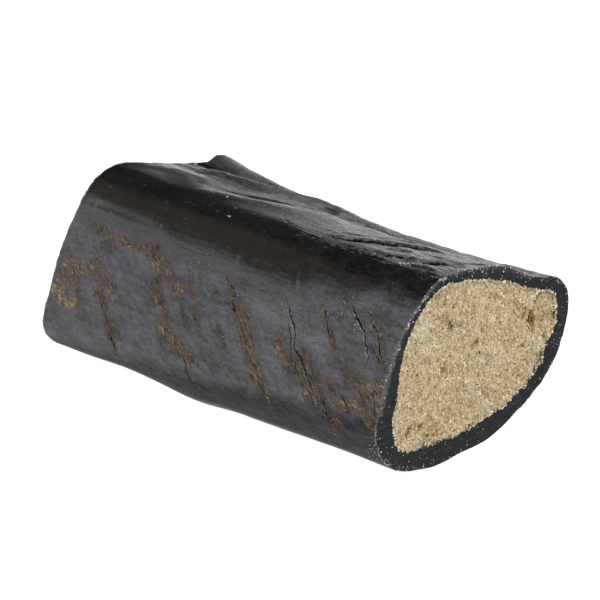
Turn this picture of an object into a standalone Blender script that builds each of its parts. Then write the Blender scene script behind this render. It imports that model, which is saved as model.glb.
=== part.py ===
"""A sawn length of water-buffalo horn, hollow and packed with a pale crumbly filling, lying on its belly.

Metres, +Z up. X runs along the horn and the end seen first in the photograph is at +X. Y runs across it,
with the flat front flank at -Y. The origin is on the surface that the horn lies on, under the middle of its
box.
Sizes below are millimetres, and MM turns them into metres where the meshes are made.
"""

import bmesh
import bpy
import numpy as np
from mathutils import Vector, geometry, noise

MM = 0.001

# Length, and where along it (0 far end, 1 near end) the middle outline stands
LENGTH = 115
MIDDLE_AT = 0.45

# Each outline has sixteen points (y, z), seen from the near end and going round from the belly towards +Y
NEAR_OUTLINE = (
    (-14, 0), (4, 0), (18, 4), (29.3, 10.2), (36.1, 19.7), (37.2, 29.6), (32.8, 35.7), (23, 39),
    (11, 45.4), (-2, 48.8), (-14, 49.7), (-22.5, 44.8), (-30, 36.5), (-35.3, 25.5), (-37.2, 14), (-30, 4.3),
)
MIDDLE_OUTLINE = (
    (-14, 0), (4, 0), (19, 3), (31.5, 9.5), (38, 19), (38.3, 28.4), (33.6, 33.8), (23.2, 37),
    (11.8, 42.8), (-2, 47.3), (-13.5, 49.2), (-21.5, 45), (-29, 36.5), (-35.5, 25), (-38.2, 13), (-30, 3.5),
)
FAR_OUTLINE = (
    (-14, 0), (4, 0), (20, 3), (33, 9.5), (40, 20), (40, 31), (35.5, 37.8), (28.5, 41.8),
    (17, 42.2), (4, 46), (-9, 49.2), (-18.6, 46.8), (-27.3, 36.9), (-34.4, 23.6), (-38, 11.5), (-30, 3.6),
)

# Wall thickness at those sixteen points on both sawn faces. The far wall is thick under the valley in the top
NEAR_WALLS = (6.2, 6.0, 5.0, 5.4, 5.8, 5.2, 4.0, 3.0, 3.7, 3.0, 2.5, 1.9, 3.1, 5.1, 5.9, 5.2)
FAR_WALLS = (5.2, 5.0, 4.2, 4.4, 4.6, 4.6, 5.4, 5.6, 4.0, 2.8, 2.5, 2.2, 2.9, 4.2, 4.8, 4.4)

# Broad swellings of the skin: place along X, outline point, height, reach along, and reach round in outline
# points. They rise from nothing over the first millimetres above the belly, which stays flat
BELLY_RISE = 2
SWELLINGS = (
    (-8, 15, 0.9, 9, 1.3),
    (-33, 15, -0.5, 10, 1.2),
    (40, 15, -0.4, 14, 1.2),
    (-36, 7, -0.5, 15, 1.5),
)

# Folds of the top, each a route of (x, y) points with its depth at every point and its reach to each side.
# A depth below 0 is a raised crest. They start on the skin between the two heights
FOLD_HEIGHTS = (33, 38)
REAR_VALLEY = ((-58, 25), (-46, 25), (-30, 25.5), (-12, 26), (8, 27), (30, 27.5), (58, 27.5))
REAR_VALLEY_DEPTHS = (1.4, 2.6, 2.4, 1.8, 1.0, 0.5, 0.3)
REAR_VALLEY_REACH = 3.4
FIRST_CREST = ((-58, 14), (-46, 17), (-30, 18), (-12, 18), (8, 20), (30, 22))
FIRST_CREST_DEPTHS = (-0.1, -0.8, -1.1, -1.7, -1.0, 0)
FIRST_CREST_REACH = 3.2
OBLIQUE_CREVICE = ((-34, 0), (-22, 3), (-12, 6.5), (0, 9.5), (12, 14), (24, 20))
OBLIQUE_CREVICE_DEPTHS = (0, 0.8, 1.2, 1.2, 0.8, 0)
OBLIQUE_CREVICE_REACH = 1.7
OBLIQUE_CREST = ((-38, -11), (-24, -5), (-10, 0), (2, 3), (14, 8))
OBLIQUE_CREST_DEPTHS = (0, -0.5, -0.9, -1.3, -0.3)
OBLIQUE_CREST_REACH = 4.0
LONG_CRACK = ((16, -14), (24, -8), (30, -3), (37, 3), (45, 9))
LONG_CRACK_DEPTHS = (0, 0.8, 1.0, 0.8, 0)
LONG_CRACK_REACH = 1.9
NEAR_CREVICE = ((34, -11), (42, -10), (49, -6), (58, 1))
NEAR_CREVICE_DEPTHS = (0, 0.5, 0.6, 0.4)
NEAR_CREVICE_REACH = 1.9

# Growth rings: where each crease meets the front shoulder along X, its depth, and how far it leans towards
# the near end for each millimetre down the flank. Between creases the skin swells
RING_PLACES = (-79, -55, -30, -20, -2, 18, 31, 42, 47, 62, 84)
RING_DEPTHS = (0.4, 0.5, 0.6, 0.3, 0.55, 0.6, 0.45, 0.5, 0.45, 0.5, 0.5)
RING_LEAN = 1.1
RING_TOP = 40
RING_TURN = 6
CREASE_REACH = 1.6
SWELL_HEIGHT = 0.35

# Where the rings are weaker: rising to full strength from the belly up the front and up the rear, down to a
# share of it between the two heights of the shoulder, and fading out just before the near rim. The folds fade
# there too
FRONT_RISE = 8
REAR_RISE = 28
SHOULDER_HEIGHTS = (38, 44)
TOP_RING_SHARE = 0.45
RELIEF_FADE = 6

# Sawn ends: the broken edge outside each rim, and how far below the rim the filling stops
NEAR_CHAMFER = 0.5
FAR_CHAMFER = 0.6
FILLING_RECESS = 0.5
FILLING_GAP = 0.3
BORE_MIDDLE = (-1, 25)

# Pits and lumps on the faces of the filling: place (y, z) on the near one, depth and reach. A depth below 0
# is a lump. Between them the faces are uneven by noise of this height and size, read from two slices of it
FACE_PITS = (
    (28, 25, 2.2, 2.2),
    (26.5, 29.5, 1.2, 1.8),
    (-15, 9.5, 1.4, 2.0),
    (-6, 17, 0.8, 3.0),
    (-23, 12, 1.0, 2.4),
    (15, 33, 0.5, 3.0),
    (6, 25, -0.3, 8.0),
    (-18, 35, -0.3, 7.0),
)
FACE_GRAIN = 0.3
GRAIN_SIZE = 3.2
GRAIN_SLICE = 7

# How finely the solids are faceted, and the angle past which an edge is shaded sharp. Rows of facets on the
# filling's faces stand at this share of their pitch
POINTS_IN_SPAN = (3, 3, 3, 3, 3, 3, 4, 6, 6, 6, 4, 4, 4, 4, 4, 3)
SKIN_STATIONS = 46
BORE_STATIONS = 7
FACE_PITCH = 2.7
ROW_SHARE = 0.866
SHARP_ANGLE = np.radians(50)


def places_round():
    """Where the mesh has its points round an outline, counted in outline points."""
    return np.concatenate([span + np.arange(count) / count for span, count in enumerate(POINTS_IN_SPAN)])


def closed_curve(points):
    """A smooth closed curve through the outline points, read at the mesh's own places."""
    points = np.asarray(points, float)
    round_at = places_round()
    span = np.floor(round_at).astype(int)
    t = (round_at - span)[:, None]
    before, here, after, beyond = (points[(span + step) % len(points)] for step in (-1, 0, 1, 2))
    bend = 2 * before - 5 * here + 4 * after - beyond
    twist = 3 * here - before - 3 * after + beyond
    return here + 0.5 * ((after - before) * t + bend * t**2 + twist * t**3)


def outward(curve):
    """Unit normals of a closed curve in its own plane, pointing out."""
    along = np.roll(curve, -1, axis=0) - np.roll(curve, 1, axis=0)
    normal = np.column_stack([along[:, 1], -along[:, 0]])
    return normal / np.linalg.norm(normal, axis=1, keepdims=True)


def blend_outlines(far, middle, near, share):
    """One outline at this share of the length, on the parabola through the three given."""
    far, middle, near = (np.asarray(points, float) for points in (far, middle, near))
    m = MIDDLE_AT
    far_weight = (share - m) * (share - 1) / m
    middle_weight = share * (1 - share) / (m * (1 - m))
    near_weight = share * (share - m) / (1 - m)
    return far * far_weight + middle * middle_weight + near * near_weight


def route_depth(x, y, route, depths, reach):
    """Depth of a fold at (x, y): its depth along the route, fading out to each side of it."""
    deepest = np.zeros_like(y)
    for (x0, y0), (x1, y1), d0, d1 in zip(route, route[1:], depths, depths[1:]):
        span = (x1 - x0) ** 2 + (y1 - y0) ** 2
        t = np.clip(((x - x0) * (x1 - x0) + (y - y0) * (y1 - y0)) / span, 0, 1)
        away = np.hypot(x - x0 - t * (x1 - x0), y - y0 - t * (y1 - y0))
        here = (d0 + t * (d1 - d0)) * np.exp(-((away / reach) ** 2))
        deepest = np.where(np.abs(here) > np.abs(deepest), here, deepest)
    return deepest


def folds(x, y):
    """How far the folds of the top push the skin in at (x, y)."""
    return (
        route_depth(x, y, REAR_VALLEY, REAR_VALLEY_DEPTHS, REAR_VALLEY_REACH)
        + route_depth(x, y, FIRST_CREST, FIRST_CREST_DEPTHS, FIRST_CREST_REACH)
        + route_depth(x, y, OBLIQUE_CREVICE, OBLIQUE_CREVICE_DEPTHS, OBLIQUE_CREVICE_REACH)
        + route_depth(x, y, OBLIQUE_CREST, OBLIQUE_CREST_DEPTHS, OBLIQUE_CREST_REACH)
        + route_depth(x, y, LONG_CRACK, LONG_CRACK_DEPTHS, LONG_CRACK_REACH)
        + route_depth(x, y, NEAR_CREVICE, NEAR_CREVICE_DEPTHS, NEAR_CREVICE_REACH)
    )


def growth_rings(x, z):
    """Height of the growth rings: a low swell between creases, and a narrow cut at each crease."""
    below = RING_TOP - z
    place = x - RING_LEAN * (below + np.hypot(below, RING_TURN)) / 2
    height = np.zeros_like(z)
    for start, end in zip(RING_PLACES, RING_PLACES[1:]):
        share = (place - start) / (end - start)
        inside = (share >= 0) & (share < 1)
        height += np.where(inside, SWELL_HEIGHT * np.sin(np.pi * share), 0)
    for start, depth in zip(RING_PLACES, RING_DEPTHS):
        height -= depth * np.exp(-(((place - start) / CREASE_REACH) ** 2))
    return height


def skin_outline(share):
    """The horn's outer outline at this share of the length, with its folds and rings."""
    x = (share - 0.5) * LENGTH
    base = closed_curve(blend_outlines(FAR_OUTLINE, MIDDLE_OUTLINE, NEAR_OUTLINE, share))
    y, z = base[:, 0], base[:, 1]
    height = np.zeros_like(z)
    for place, point, rise, along, reach in SWELLINGS:
        away = np.abs(places_round() - point)
        away = np.minimum(away, len(NEAR_OUTLINE) - away)
        height += rise * np.exp(-(((x - place) / along) ** 2) - (away / reach) ** 2)
    height *= np.clip(z / BELLY_RISE, 0, 1)
    on_top = np.interp(z, FOLD_HEIGHTS, (0, 1))
    on_flank = np.clip(z / np.where(y > 0, REAR_RISE, FRONT_RISE), 0, 1)
    on_flank *= np.interp(z, SHOULDER_HEIGHTS, (1, TOP_RING_SHARE))
    fade = np.clip((LENGTH / 2 - x) / RELIEF_FADE, 0, 1)
    height += (growth_rings(x, z) * on_flank - folds(x, y) * on_top) * fade
    shaped = base + outward(base) * height[:, None]
    shaped[:, 1] = np.maximum(shaped[:, 1], 0)
    return shaped


def bore_outline(share, shrink=0):
    """The bore's outline at this share of the length, moved in by shrink."""
    plain = blend_outlines(FAR_OUTLINE, MIDDLE_OUTLINE, NEAR_OUTLINE, share)
    walls = np.array(FAR_WALLS) + (np.array(NEAR_WALLS) - np.array(FAR_WALLS)) * share
    points = plain - outward(plain) * walls[:, None]
    curve = closed_curve(points)
    return curve - outward(curve) * shrink


def in_space(x, outline):
    """The outline's points in space, at x along the horn."""
    return [Vector((x, y, z)) * MM for y, z in outline]


def chamfered(share, chamfer):
    """The outer edge of a sawn rim, inside the skin by the chamfer."""
    outline = skin_outline(share)
    return outline - outward(outline) * chamfer


def horn_loops():
    """Loops of the tube: along the skin to the near rim, then back along the bore to the far rim."""
    end = LENGTH / 2
    skin_from, skin_to = FAR_CHAMFER / LENGTH, 1 - NEAR_CHAMFER / LENGTH
    loops = [in_space(-end, chamfered(0, FAR_CHAMFER))]
    for share in np.linspace(skin_from, skin_to, SKIN_STATIONS):
        loops.append(in_space((share - 0.5) * LENGTH, skin_outline(share)))
    loops.append(in_space(end, chamfered(1, NEAR_CHAMFER)))
    for share in np.linspace(1, 0, BORE_STATIONS):
        loops.append(in_space((share - 0.5) * LENGTH, bore_outline(share)))
    return loops


def face_depth(y, z, side):
    """How far the filling's face lies below the rim at (y, z). side is 1 at the near end, -1 at the far."""
    grain = noise.noise(Vector((y / GRAIN_SIZE, z / GRAIN_SIZE, GRAIN_SLICE * side)))
    depth = FILLING_RECESS + FACE_GRAIN * grain
    for pit_y, pit_z, deep, reach in FACE_PITS:
        away = np.hypot(y - side * pit_y, z - pit_z)
        depth += deep * np.exp(-((away / reach) ** 2))
    return depth


def on_face(places, side):
    """Places (y, z) put in space on the filling's end face."""
    return [Vector((side * (LENGTH / 2 - face_depth(y, z, side)), y, z)) * MM for y, z in places]


def face_places(edge):
    """Staggered places (y, z) across one end of the filling, no nearer its edge than the pitch."""
    spokes = edge - np.array(BORE_MIDDLE)
    angles = np.arctan2(spokes[:, 1], spokes[:, 0])
    radii = np.hypot(spokes[:, 0], spokes[:, 1])
    rows = int(LENGTH / FACE_PITCH)
    places = []
    for row in range(-rows, rows):
        for column in range(-rows, rows):
            y = (column + 0.5 * (row % 2)) * FACE_PITCH
            z = row * FACE_PITCH * ROW_SHARE
            room = np.interp(np.arctan2(z, y), angles, radii, period=2 * np.pi)
            if np.hypot(y, z) < room - FACE_PITCH:
                places.append((y + BORE_MIDDLE[0], z + BORE_MIDDLE[1]))
    return places


def add_face(shape, row, edge, side):
    """Closes one end of the filling: a lumpy face of even facets inside the loop of vertices."""
    places = face_places(edge)
    flat = [Vector(place) for place in list(edge) + places]
    made = geometry.delaunay_2d_cdt(flat, [], [range(len(edge))], 1, 0)
    verts = row + [shape.verts.new(point) for point in on_face(places, side)]
    for corners in made[2]:
        shape.faces.new([verts[corner] for corner in corners])


def add_sides(shape, loops, ring_shaped):
    """Faces between each loop of points and the next, and the rows of vertices that they stand on."""
    rows = [[shape.verts.new(point) for point in loop] for loop in loops]
    pairs = list(zip(rows, rows[1:]))
    if ring_shaped:
        pairs.append((rows[-1], rows[0]))
    for row, following in pairs:
        for k in range(len(row)):
            after = (k + 1) % len(row)
            shape.faces.new((row[k], row[after], following[after], following[k]))
    return rows


def object_from(name, shape):
    """A smooth-shaded mesh object with its faces pointing out."""
    bmesh.ops.recalc_face_normals(shape, faces=shape.faces)
    mesh = bpy.data.meshes.new(name)
    shape.to_mesh(mesh)
    shape.free()
    mesh.shade_smooth()
    mesh.set_sharp_from_angle(angle=SHARP_ANGLE)
    made = bpy.data.objects.new(name, mesh)
    bpy.context.scene.collection.objects.link(made)
    return made


def build_horn():
    """The keratin tube: skin, near rim, bore and far rim in one closed sweep."""
    shape = bmesh.new()
    add_sides(shape, horn_loops(), ring_shaped=True)
    return object_from("horn", shape)


def build_filling():
    """The filling, which fits the bore and stops just below both rims."""
    shape = bmesh.new()
    far, near = bore_outline(0, FILLING_GAP), bore_outline(1, FILLING_GAP)
    between = [
        in_space((share - 0.5) * LENGTH, bore_outline(share, FILLING_GAP))
        for share in np.linspace(0, 1, BORE_STATIONS)[1:-1]
    ]
    rows = add_sides(shape, [on_face(far, -1), *between, on_face(near, 1)], ring_shaped=False)
    add_face(shape, rows[0], far, -1)
    add_face(shape, rows[-1], near, 1)
    return object_from("filling", shape)


def finish(name, colour, roughness, specular):
    """A plain material with the piece's colour and gloss."""
    material = bpy.data.materials.new(name)
    material.use_nodes = True
    shader = material.node_tree.nodes["Principled BSDF"]
    shader.inputs["Base Color"].default_value = (*colour, 1)
    shader.inputs["Roughness"].default_value = roughness
    shader.inputs["Metallic"].default_value = 0
    shader.inputs["Specular IOR Level"].default_value = specular
    return material


def centre_on_origin(pieces):
    """Moves the meshes so that the origin is under the middle of their box."""
    points = np.array([vert.co for piece in pieces for vert in piece.data.vertices])
    low, high = points.min(axis=0), points.max(axis=0)
    shift = Vector((-(low[0] + high[0]) / 2, -(low[1] + high[1]) / 2, -low[2]))
    for piece in pieces:
        for vert in piece.data.vertices:
            vert.co += shift


def main():
    for leftover in list(bpy.data.objects):
        bpy.data.objects.remove(leftover, do_unlink=True)
    horn = build_horn()
    horn.data.materials.append(finish("black_keratin", (0.028, 0.028, 0.031), 0.38, 0.5))
    filling = build_filling()
    filling.data.materials.append(finish("pale_crumb", (0.44, 0.35, 0.22), 0.95, 0.2))
    centre_on_origin((horn, filling))


if __name__ == "__main__":
    main()
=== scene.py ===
"""Looks of a sawn length of black water-buffalo horn packed with pale crumb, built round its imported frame.

Sizes in the classes are millimetres in the section's own frame, where x runs along the horn and the
outlines are (y, z) points. SECTION_SHIFT moves them across into the row frame and MM makes them metres.
"""

import itertools
import logging
import math
from collections.abc import Callable
from dataclasses import dataclass, field
from enum import Enum
from typing import Self

import bpy
import numpy as np
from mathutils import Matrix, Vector


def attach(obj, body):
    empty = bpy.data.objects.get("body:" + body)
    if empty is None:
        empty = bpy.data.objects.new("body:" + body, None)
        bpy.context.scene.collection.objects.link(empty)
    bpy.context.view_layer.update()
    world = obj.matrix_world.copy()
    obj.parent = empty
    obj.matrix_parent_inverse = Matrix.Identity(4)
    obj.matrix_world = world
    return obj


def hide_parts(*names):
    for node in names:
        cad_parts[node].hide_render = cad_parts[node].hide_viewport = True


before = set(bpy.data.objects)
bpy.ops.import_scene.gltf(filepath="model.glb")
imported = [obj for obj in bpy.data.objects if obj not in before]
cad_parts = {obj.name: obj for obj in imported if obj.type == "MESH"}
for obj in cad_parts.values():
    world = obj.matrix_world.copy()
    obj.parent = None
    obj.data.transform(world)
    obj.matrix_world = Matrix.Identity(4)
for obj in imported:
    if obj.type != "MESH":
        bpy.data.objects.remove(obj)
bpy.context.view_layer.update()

LOG = logging.getLogger("horn_section")
MM = 0.001
SECTION_SHIFT = -0.923

Array = np.ndarray
Piece = bpy.types.Object
Socket = bpy.types.NodeSocket
Points = tuple[tuple[float, float], ...]
Triples = tuple[tuple[float, float, int], ...]
Dips = tuple[tuple[float, float, float, float], ...]
Clusters = tuple[tuple[float, float, float, int, float], ...]
Colour = tuple[float, float, float]

HASH_FACTORS = (374761393, 668265263, 1440662683)
HASH_SEED_FACTOR = 974634777
HASH_START = 12345
HASH_MIX = 1274126177
HASH_BITS = 0xFFFFFFFF
HALF_HASH = 0x7FFFFFFF
LAYER_SEED_STEP = 31

CRACK_REACH = 1.3
NO_CRACK = 9.0
MIX_COLOUR_SOCKETS = (0, 6, 7)
MIX_NUMBER_SOCKETS = (0, 2, 3)


class End(Enum):
    """The two sawn ends, by their direction along X."""

    NEAR = 1
    FAR = -1

    @property
    def row(self) -> int:
        """The index of this end's row among rows that run from the far end to the near one."""
        return -1 if self is End.NEAR else 0


class Finish(Enum):
    """Material slots of the horn piece, in order."""

    SKIN = 0
    RIM = 1
    BORE = 2


def lattice_noise(x: Array, y: Array, z: Array, seed: int = 0) -> Array:
    """Smooth noise with one lattice cell to a unit.

    Args:
        x: first coordinate.
        y: second coordinate, which broadcasts with the first.
        z: third coordinate, which broadcasts with the others.
        seed: picks another noise.

    Returns:
        Values from -1 to 1 in the broadcast shape.
    """
    x, y, z = np.broadcast_arrays(x, y, z)
    cells = [np.floor(axis).astype(np.int64) for axis in (x, y, z)]
    shares = [axis - cell for axis, cell in zip((x, y, z), cells)]
    shares = [t * t * t * (t * (t * 6 - 15) + 10) for t in shares]
    total = np.zeros(x.shape)
    for corner in itertools.product((0, 1), repeat=3):
        code = seed * HASH_SEED_FACTOR + HASH_START
        weight = 1.0
        for cell, share, step, factor in zip(cells, shares, corner, HASH_FACTORS):
            code = code + (cell + step) * factor
            weight = weight * (share if step else 1 - share)
        code = (code ^ (code >> 13)) & HASH_BITS
        code = (code * HASH_MIX) & HASH_BITS
        code = code ^ (code >> 16)
        total += weight * (code / HALF_HASH - 1)
    return total


def layered_noise(x: Array, y: Array, z: Array, layers: int, seed: int = 0) -> Array:
    """Noise of several layers, each twice as fine and half as strong as the one before."""
    total = np.zeros(np.broadcast(x, y, z).shape)
    for layer in range(layers):
        fine = 2**layer
        total += lattice_noise(x * fine, y * fine, z * fine, seed + LAYER_SEED_STEP * layer) / fine
    return total


def smooth_step(value: Array, low: float, high: float) -> Array:
    """0 below low, 1 above high and an even curve between."""
    t = np.clip((value - low) / (high - low), 0, 1)
    return t * t * (3 - 2 * t)


@dataclass(frozen=True)
class Spots:
    """Places on the skin, as arrays of one shape."""

    x: Array
    y: Array
    z: Array

    def noise(self, along: float, across: float, seed: int, layers: int = 1) -> Array:
        """Noise whose cells are this long along the horn and this wide across it."""
        return layered_noise(self.x / along, self.y / across, self.z / across, layers, seed)

    def above(self, low: float, high: float) -> Array:
        """0 below one height and 1 above the other."""
        return smooth_step(self.z, low, high)

    @property
    def on_front(self) -> Array:
        """1 on the front flank and 0 on the belly, the top and the rear."""
        return smooth_step(-self.y, 14, 20)


@dataclass(frozen=True)
class Layer:
    """One layer of fine unevenness: its height, and how long and wide the cells of its noise are."""

    height: float
    along: float
    across: float
    seed: int
    octaves: int = 1

    def read(self, at: Spots) -> Array:
        """Its height at each place."""
        return self.height * at.noise(self.along, self.across, self.seed, self.octaves)


def stacked(layers: tuple[Layer, ...], at: Spots, start: Array | float = 0.0) -> Array:
    """The heights of these layers together, on top of a start."""
    return sum((layer.read(at) for layer in layers), start)


def face_noise(y: Array, z: Array, slice_at: float, layers: Triples, start: Array | float = 0.0) -> Array:
    """Noise on a sawn face, on top of a start. Each layer has its height, its cells' size and its seed."""
    layered = (height * lattice_noise(y / size, z / size, slice_at, seed) for height, size, seed in layers)
    return sum(layered, start)


def along_segment(
    x: Array, z: Array, start: tuple[float, float], end: tuple[float, float]
) -> tuple[Array, Array]:
    """How far along a straight segment each place lies, from 0 to 1, and its distance from the segment."""
    (x0, z0), (x1, z1) = start, end
    span = (x1 - x0) ** 2 + (z1 - z0) ** 2
    t = np.clip(((x - x0) * (x1 - x0) + (z - z0) * (z1 - z0)) / span, 0, 1)
    return t, np.hypot(x - x0 - t * (x1 - x0), z - z0 - t * (z1 - z0))


def near_route(
    x: Array, z: Array, route: Points, reach: float, weights: tuple[float, ...] | None = None
) -> Array:
    """How near each place is to a route.

    Args:
        x: places along the horn.
        z: the other coordinate of the places, height or breadth.
        route: points of the route in the same two coordinates.
        reach: distance over which the nearness falls to about a third.
        weights: strength at each point of the route, 1 where it isn't given.

    Returns:
        The strength on the route itself, fading to 0 away from it.
    """
    best = np.zeros(np.broadcast(x, z).shape)
    weights = weights or (1.0,) * len(route)
    for start, end, first, last in zip(route, route[1:], weights, weights[1:]):
        t, away = along_segment(x, z, start, end)
        here = (first + t * (last - first)) * np.exp(-((away / reach) ** 2))
        best = np.where(np.abs(here) > np.abs(best), here, best)
    return best


def closed_curve(points: Points, places: Array) -> Array:
    """A smooth closed curve through outline points, read at the places round it."""
    points = np.asarray(points, float)
    span = np.floor(places).astype(int)
    t = (places - span)[:, None]
    before, here, after, beyond = (points[(span + step) % len(points)] for step in (-1, 0, 1, 2))
    bend = 2 * before - 5 * here + 4 * after - beyond
    twist = 3 * here - before - 3 * after + beyond
    return here + 0.5 * ((after - before) * t + bend * t**2 + twist * t**3)


def outward(curves: Array) -> Array:
    """Unit normals, pointing out, of closed curves whose points run along the last axis but one."""
    along = np.roll(curves, -1, axis=-2) - np.roll(curves, 1, axis=-2)
    normal = np.stack([along[..., 1], -along[..., 0]], axis=-1)
    return normal / np.linalg.norm(normal, axis=-1, keepdims=True)


@dataclass(frozen=True)
class Fold:
    """A fold of the top.

    The route has (x, y) points and a depth at each. A depth below 0 is a raised crest.
    """

    route: Points
    depths: tuple[float, ...]
    reach: float

    def sunk(self, x: Array, y: Array) -> Array:
        """How far the skin sinks at each place."""
        return near_route(x, y, self.route, self.reach, self.depths)


@dataclass(frozen=True)
class HornForm:
    """The horn's outlines, walls, folds and growth rings."""

    length: float = 115
    middle_at: float = 0.45
    near_outline: Points = (
        (-14, 0), (4, 0), (18, 4), (29.3, 10.2), (36.1, 19.7), (37.2, 29.6), (32.8, 35.7), (23, 39),
        (11, 45.4), (-2, 48.8), (-14, 49.7), (-22.5, 44.8), (-30, 36.5), (-35.3, 25.5), (-37.2, 14),
        (-30, 4.3),
    )
    middle_outline: Points = (
        (-14, 0), (4, 0), (19, 3), (31.5, 9.5), (38, 19), (38.3, 28.4), (33.6, 33.8), (23.2, 37),
        (11.8, 42.8), (-2, 47.3), (-13.5, 49.2), (-21.5, 45), (-29, 36.5), (-35.5, 25), (-38.2, 13),
        (-30, 3.5),
    )
    far_outline: Points = (
        (-14, 0), (4, 0), (20, 3), (33, 9.5), (40, 20), (40, 31), (35.5, 37.8), (28.5, 41.8),
        (17, 42.2), (4, 46), (-9, 49.2), (-18.6, 46.8), (-27.3, 36.9), (-34.4, 23.6), (-38, 11.5), (-30, 3.6),
    )
    near_walls: tuple[float, ...] = (
        6.2, 6.0, 5.0, 5.4, 5.8, 5.2, 4.0, 3.0, 3.7, 3.0, 2.5, 1.9, 3.1, 5.1, 5.9, 5.2,
    )
    far_walls: tuple[float, ...] = (
        5.2, 5.0, 4.2, 4.4, 4.6, 4.6, 5.4, 5.6, 4.0, 2.8, 2.5, 2.2, 2.9, 4.2, 4.8, 4.4,
    )
    belly_rise: float = 2
    swellings: tuple[tuple[float, float, float, float, float], ...] = (
        (-8, 15, 0.9, 9, 1.3), (-33, 15, -0.5, 10, 1.2), (40, 15, -0.4, 14, 1.2), (-36, 7, -0.5, 15, 1.5),
    )
    fold_heights: tuple[float, float] = (33, 38)
    folds: tuple[Fold, ...] = (
        Fold(
            ((-58, 25), (-46, 25), (-30, 25.5), (-12, 26), (8, 27), (30, 27.5), (58, 27.5)),
            (1.4, 2.6, 2.4, 1.8, 1.0, 0.5, 0.3), 3.4,
        ),
        Fold(
            ((-58, 14), (-46, 17), (-30, 18), (-12, 18), (8, 20), (30, 22)),
            (-0.1, -0.8, -1.1, -1.7, -1.0, 0), 3.2,
        ),
        Fold(((-34, 0), (-22, 3), (-12, 6.5), (0, 9.5), (12, 14), (24, 20)), (0, 0.8, 1.2, 1.2, 0.8, 0), 1.7),
        Fold(((-38, -11), (-24, -5), (-10, 0), (2, 3), (14, 8)), (0, -0.5, -0.9, -1.3, -0.3), 4.0),
        Fold(((16, -14), (24, -8), (30, -3), (37, 3), (45, 9)), (0, 0.8, 1.0, 0.8, 0), 1.9),
        Fold(((34, -11), (42, -10), (49, -6), (58, 1)), (0, 0.5, 0.6, 0.4), 1.9),
    )
    ring_places: tuple[float, ...] = (-79, -55, -30, -20, -2, 18, 31, 42, 47, 62, 84)
    ring_depths: tuple[float, ...] = (0.4, 0.5, 0.6, 0.3, 0.55, 0.6, 0.45, 0.5, 0.45, 0.5, 0.5)
    ring_lean: float = 1.1
    ring_top: float = 40
    ring_turn: float = 6
    crease_reach: float = 1.6
    swell_height: float = 0.35
    front_rise: float = 8
    rear_rise: float = 28
    shoulder_heights: tuple[float, float] = (38, 44)
    top_ring_share: float = 0.45
    relief_fade: float = 6

    @property
    def outlines(self) -> tuple[Points, Points, Points]:
        """The outline points from the far end to the near one."""
        return self.far_outline, self.middle_outline, self.near_outline

    @property
    def half(self) -> float:
        """Half the length."""
        return self.length / 2

    def blend(self, x: Array, far: Array, middle: Array, near: Array) -> Array:
        """What lies on the parabola through the three given curves.

        Args:
            x: places along the horn, one for each curve wanted.
            far: the curve at the far end.
            middle: the curve at the middle outline's place.
            near: the curve at the near end.

        Returns:
            An array of curves, one for each x.
        """
        share = (np.asarray(x, float) / self.length + 0.5).reshape(-1, 1, 1)
        m = self.middle_at
        return (
            far * ((share - m) * (share - 1) / m)
            + middle * (share * (1 - share) / (m * (1 - m)))
            + near * (share * (share - m) / (1 - m))
        )

    def ring_place(self, x: Array, z: Array) -> Array:
        """Where a growth line through (x, z) meets the shoulder, along X."""
        below = self.ring_top - z
        return x - self.ring_lean * (below + np.hypot(below, self.ring_turn)) / 2

    def rings(self, place: Array) -> Array:
        """Height of the growth rings: a low swell between creases and a narrow cut at each."""
        height = np.zeros_like(place)
        for start, end in zip(self.ring_places, self.ring_places[1:]):
            share = (place - start) / (end - start)
            height += np.where((share >= 0) & (share < 1), self.swell_height * np.sin(np.pi * share), 0)
        for start, depth in zip(self.ring_places, self.ring_depths):
            height -= depth * np.exp(-(((place - start) / self.crease_reach) ** 2))
        return height

    def plain_skin(self, x: Array, places: Array) -> Array:
        """The outer outlines at x without their relief."""
        return self.blend(x, *(closed_curve(points, places) for points in self.outlines))

    def relief(self, x: Array, places: Array, plain: Array, ring_share: Array) -> Array:
        """Height of swellings, folds and this share of the rings over the plain skin."""
        x = np.asarray(x, float).reshape(-1, 1)
        y, z = plain[..., 0], plain[..., 1]
        height = np.zeros_like(z)
        for place, point, rise, along, reach in self.swellings:
            away = np.abs(places - point)
            away = np.minimum(away, len(self.near_outline) - away)
            height += rise * np.exp(-(((x - place) / along) ** 2) - (away / reach) ** 2)
        height *= np.clip(z / self.belly_rise, 0, 1)
        pushed = sum(fold.sunk(x, y) for fold in self.folds) * np.interp(z, self.fold_heights, (0, 1))
        on_flank = np.clip(z / np.where(y > 0, self.rear_rise, self.front_rise), 0, 1)
        on_flank *= np.interp(z, self.shoulder_heights, (1, self.top_ring_share))
        fade = np.clip((self.half - x) / self.relief_fade, 0, 1)
        return height + (ring_share * self.rings(self.ring_place(x, z)) * on_flank - pushed) * fade

    def bore(self, x: Array, places: Array) -> Array:
        """The bore's outlines at x."""
        x = np.asarray(x, float)
        plain = self.blend(x, *(np.asarray(points, float) for points in self.outlines))
        share = (x / self.length + 0.5).reshape(-1, 1)
        far, near = np.asarray(self.far_walls), np.asarray(self.near_walls)
        inner = plain - outward(plain) * (far + (near - far) * share)[..., None]
        return np.stack([closed_curve(points, places) for points in inner])


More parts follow.
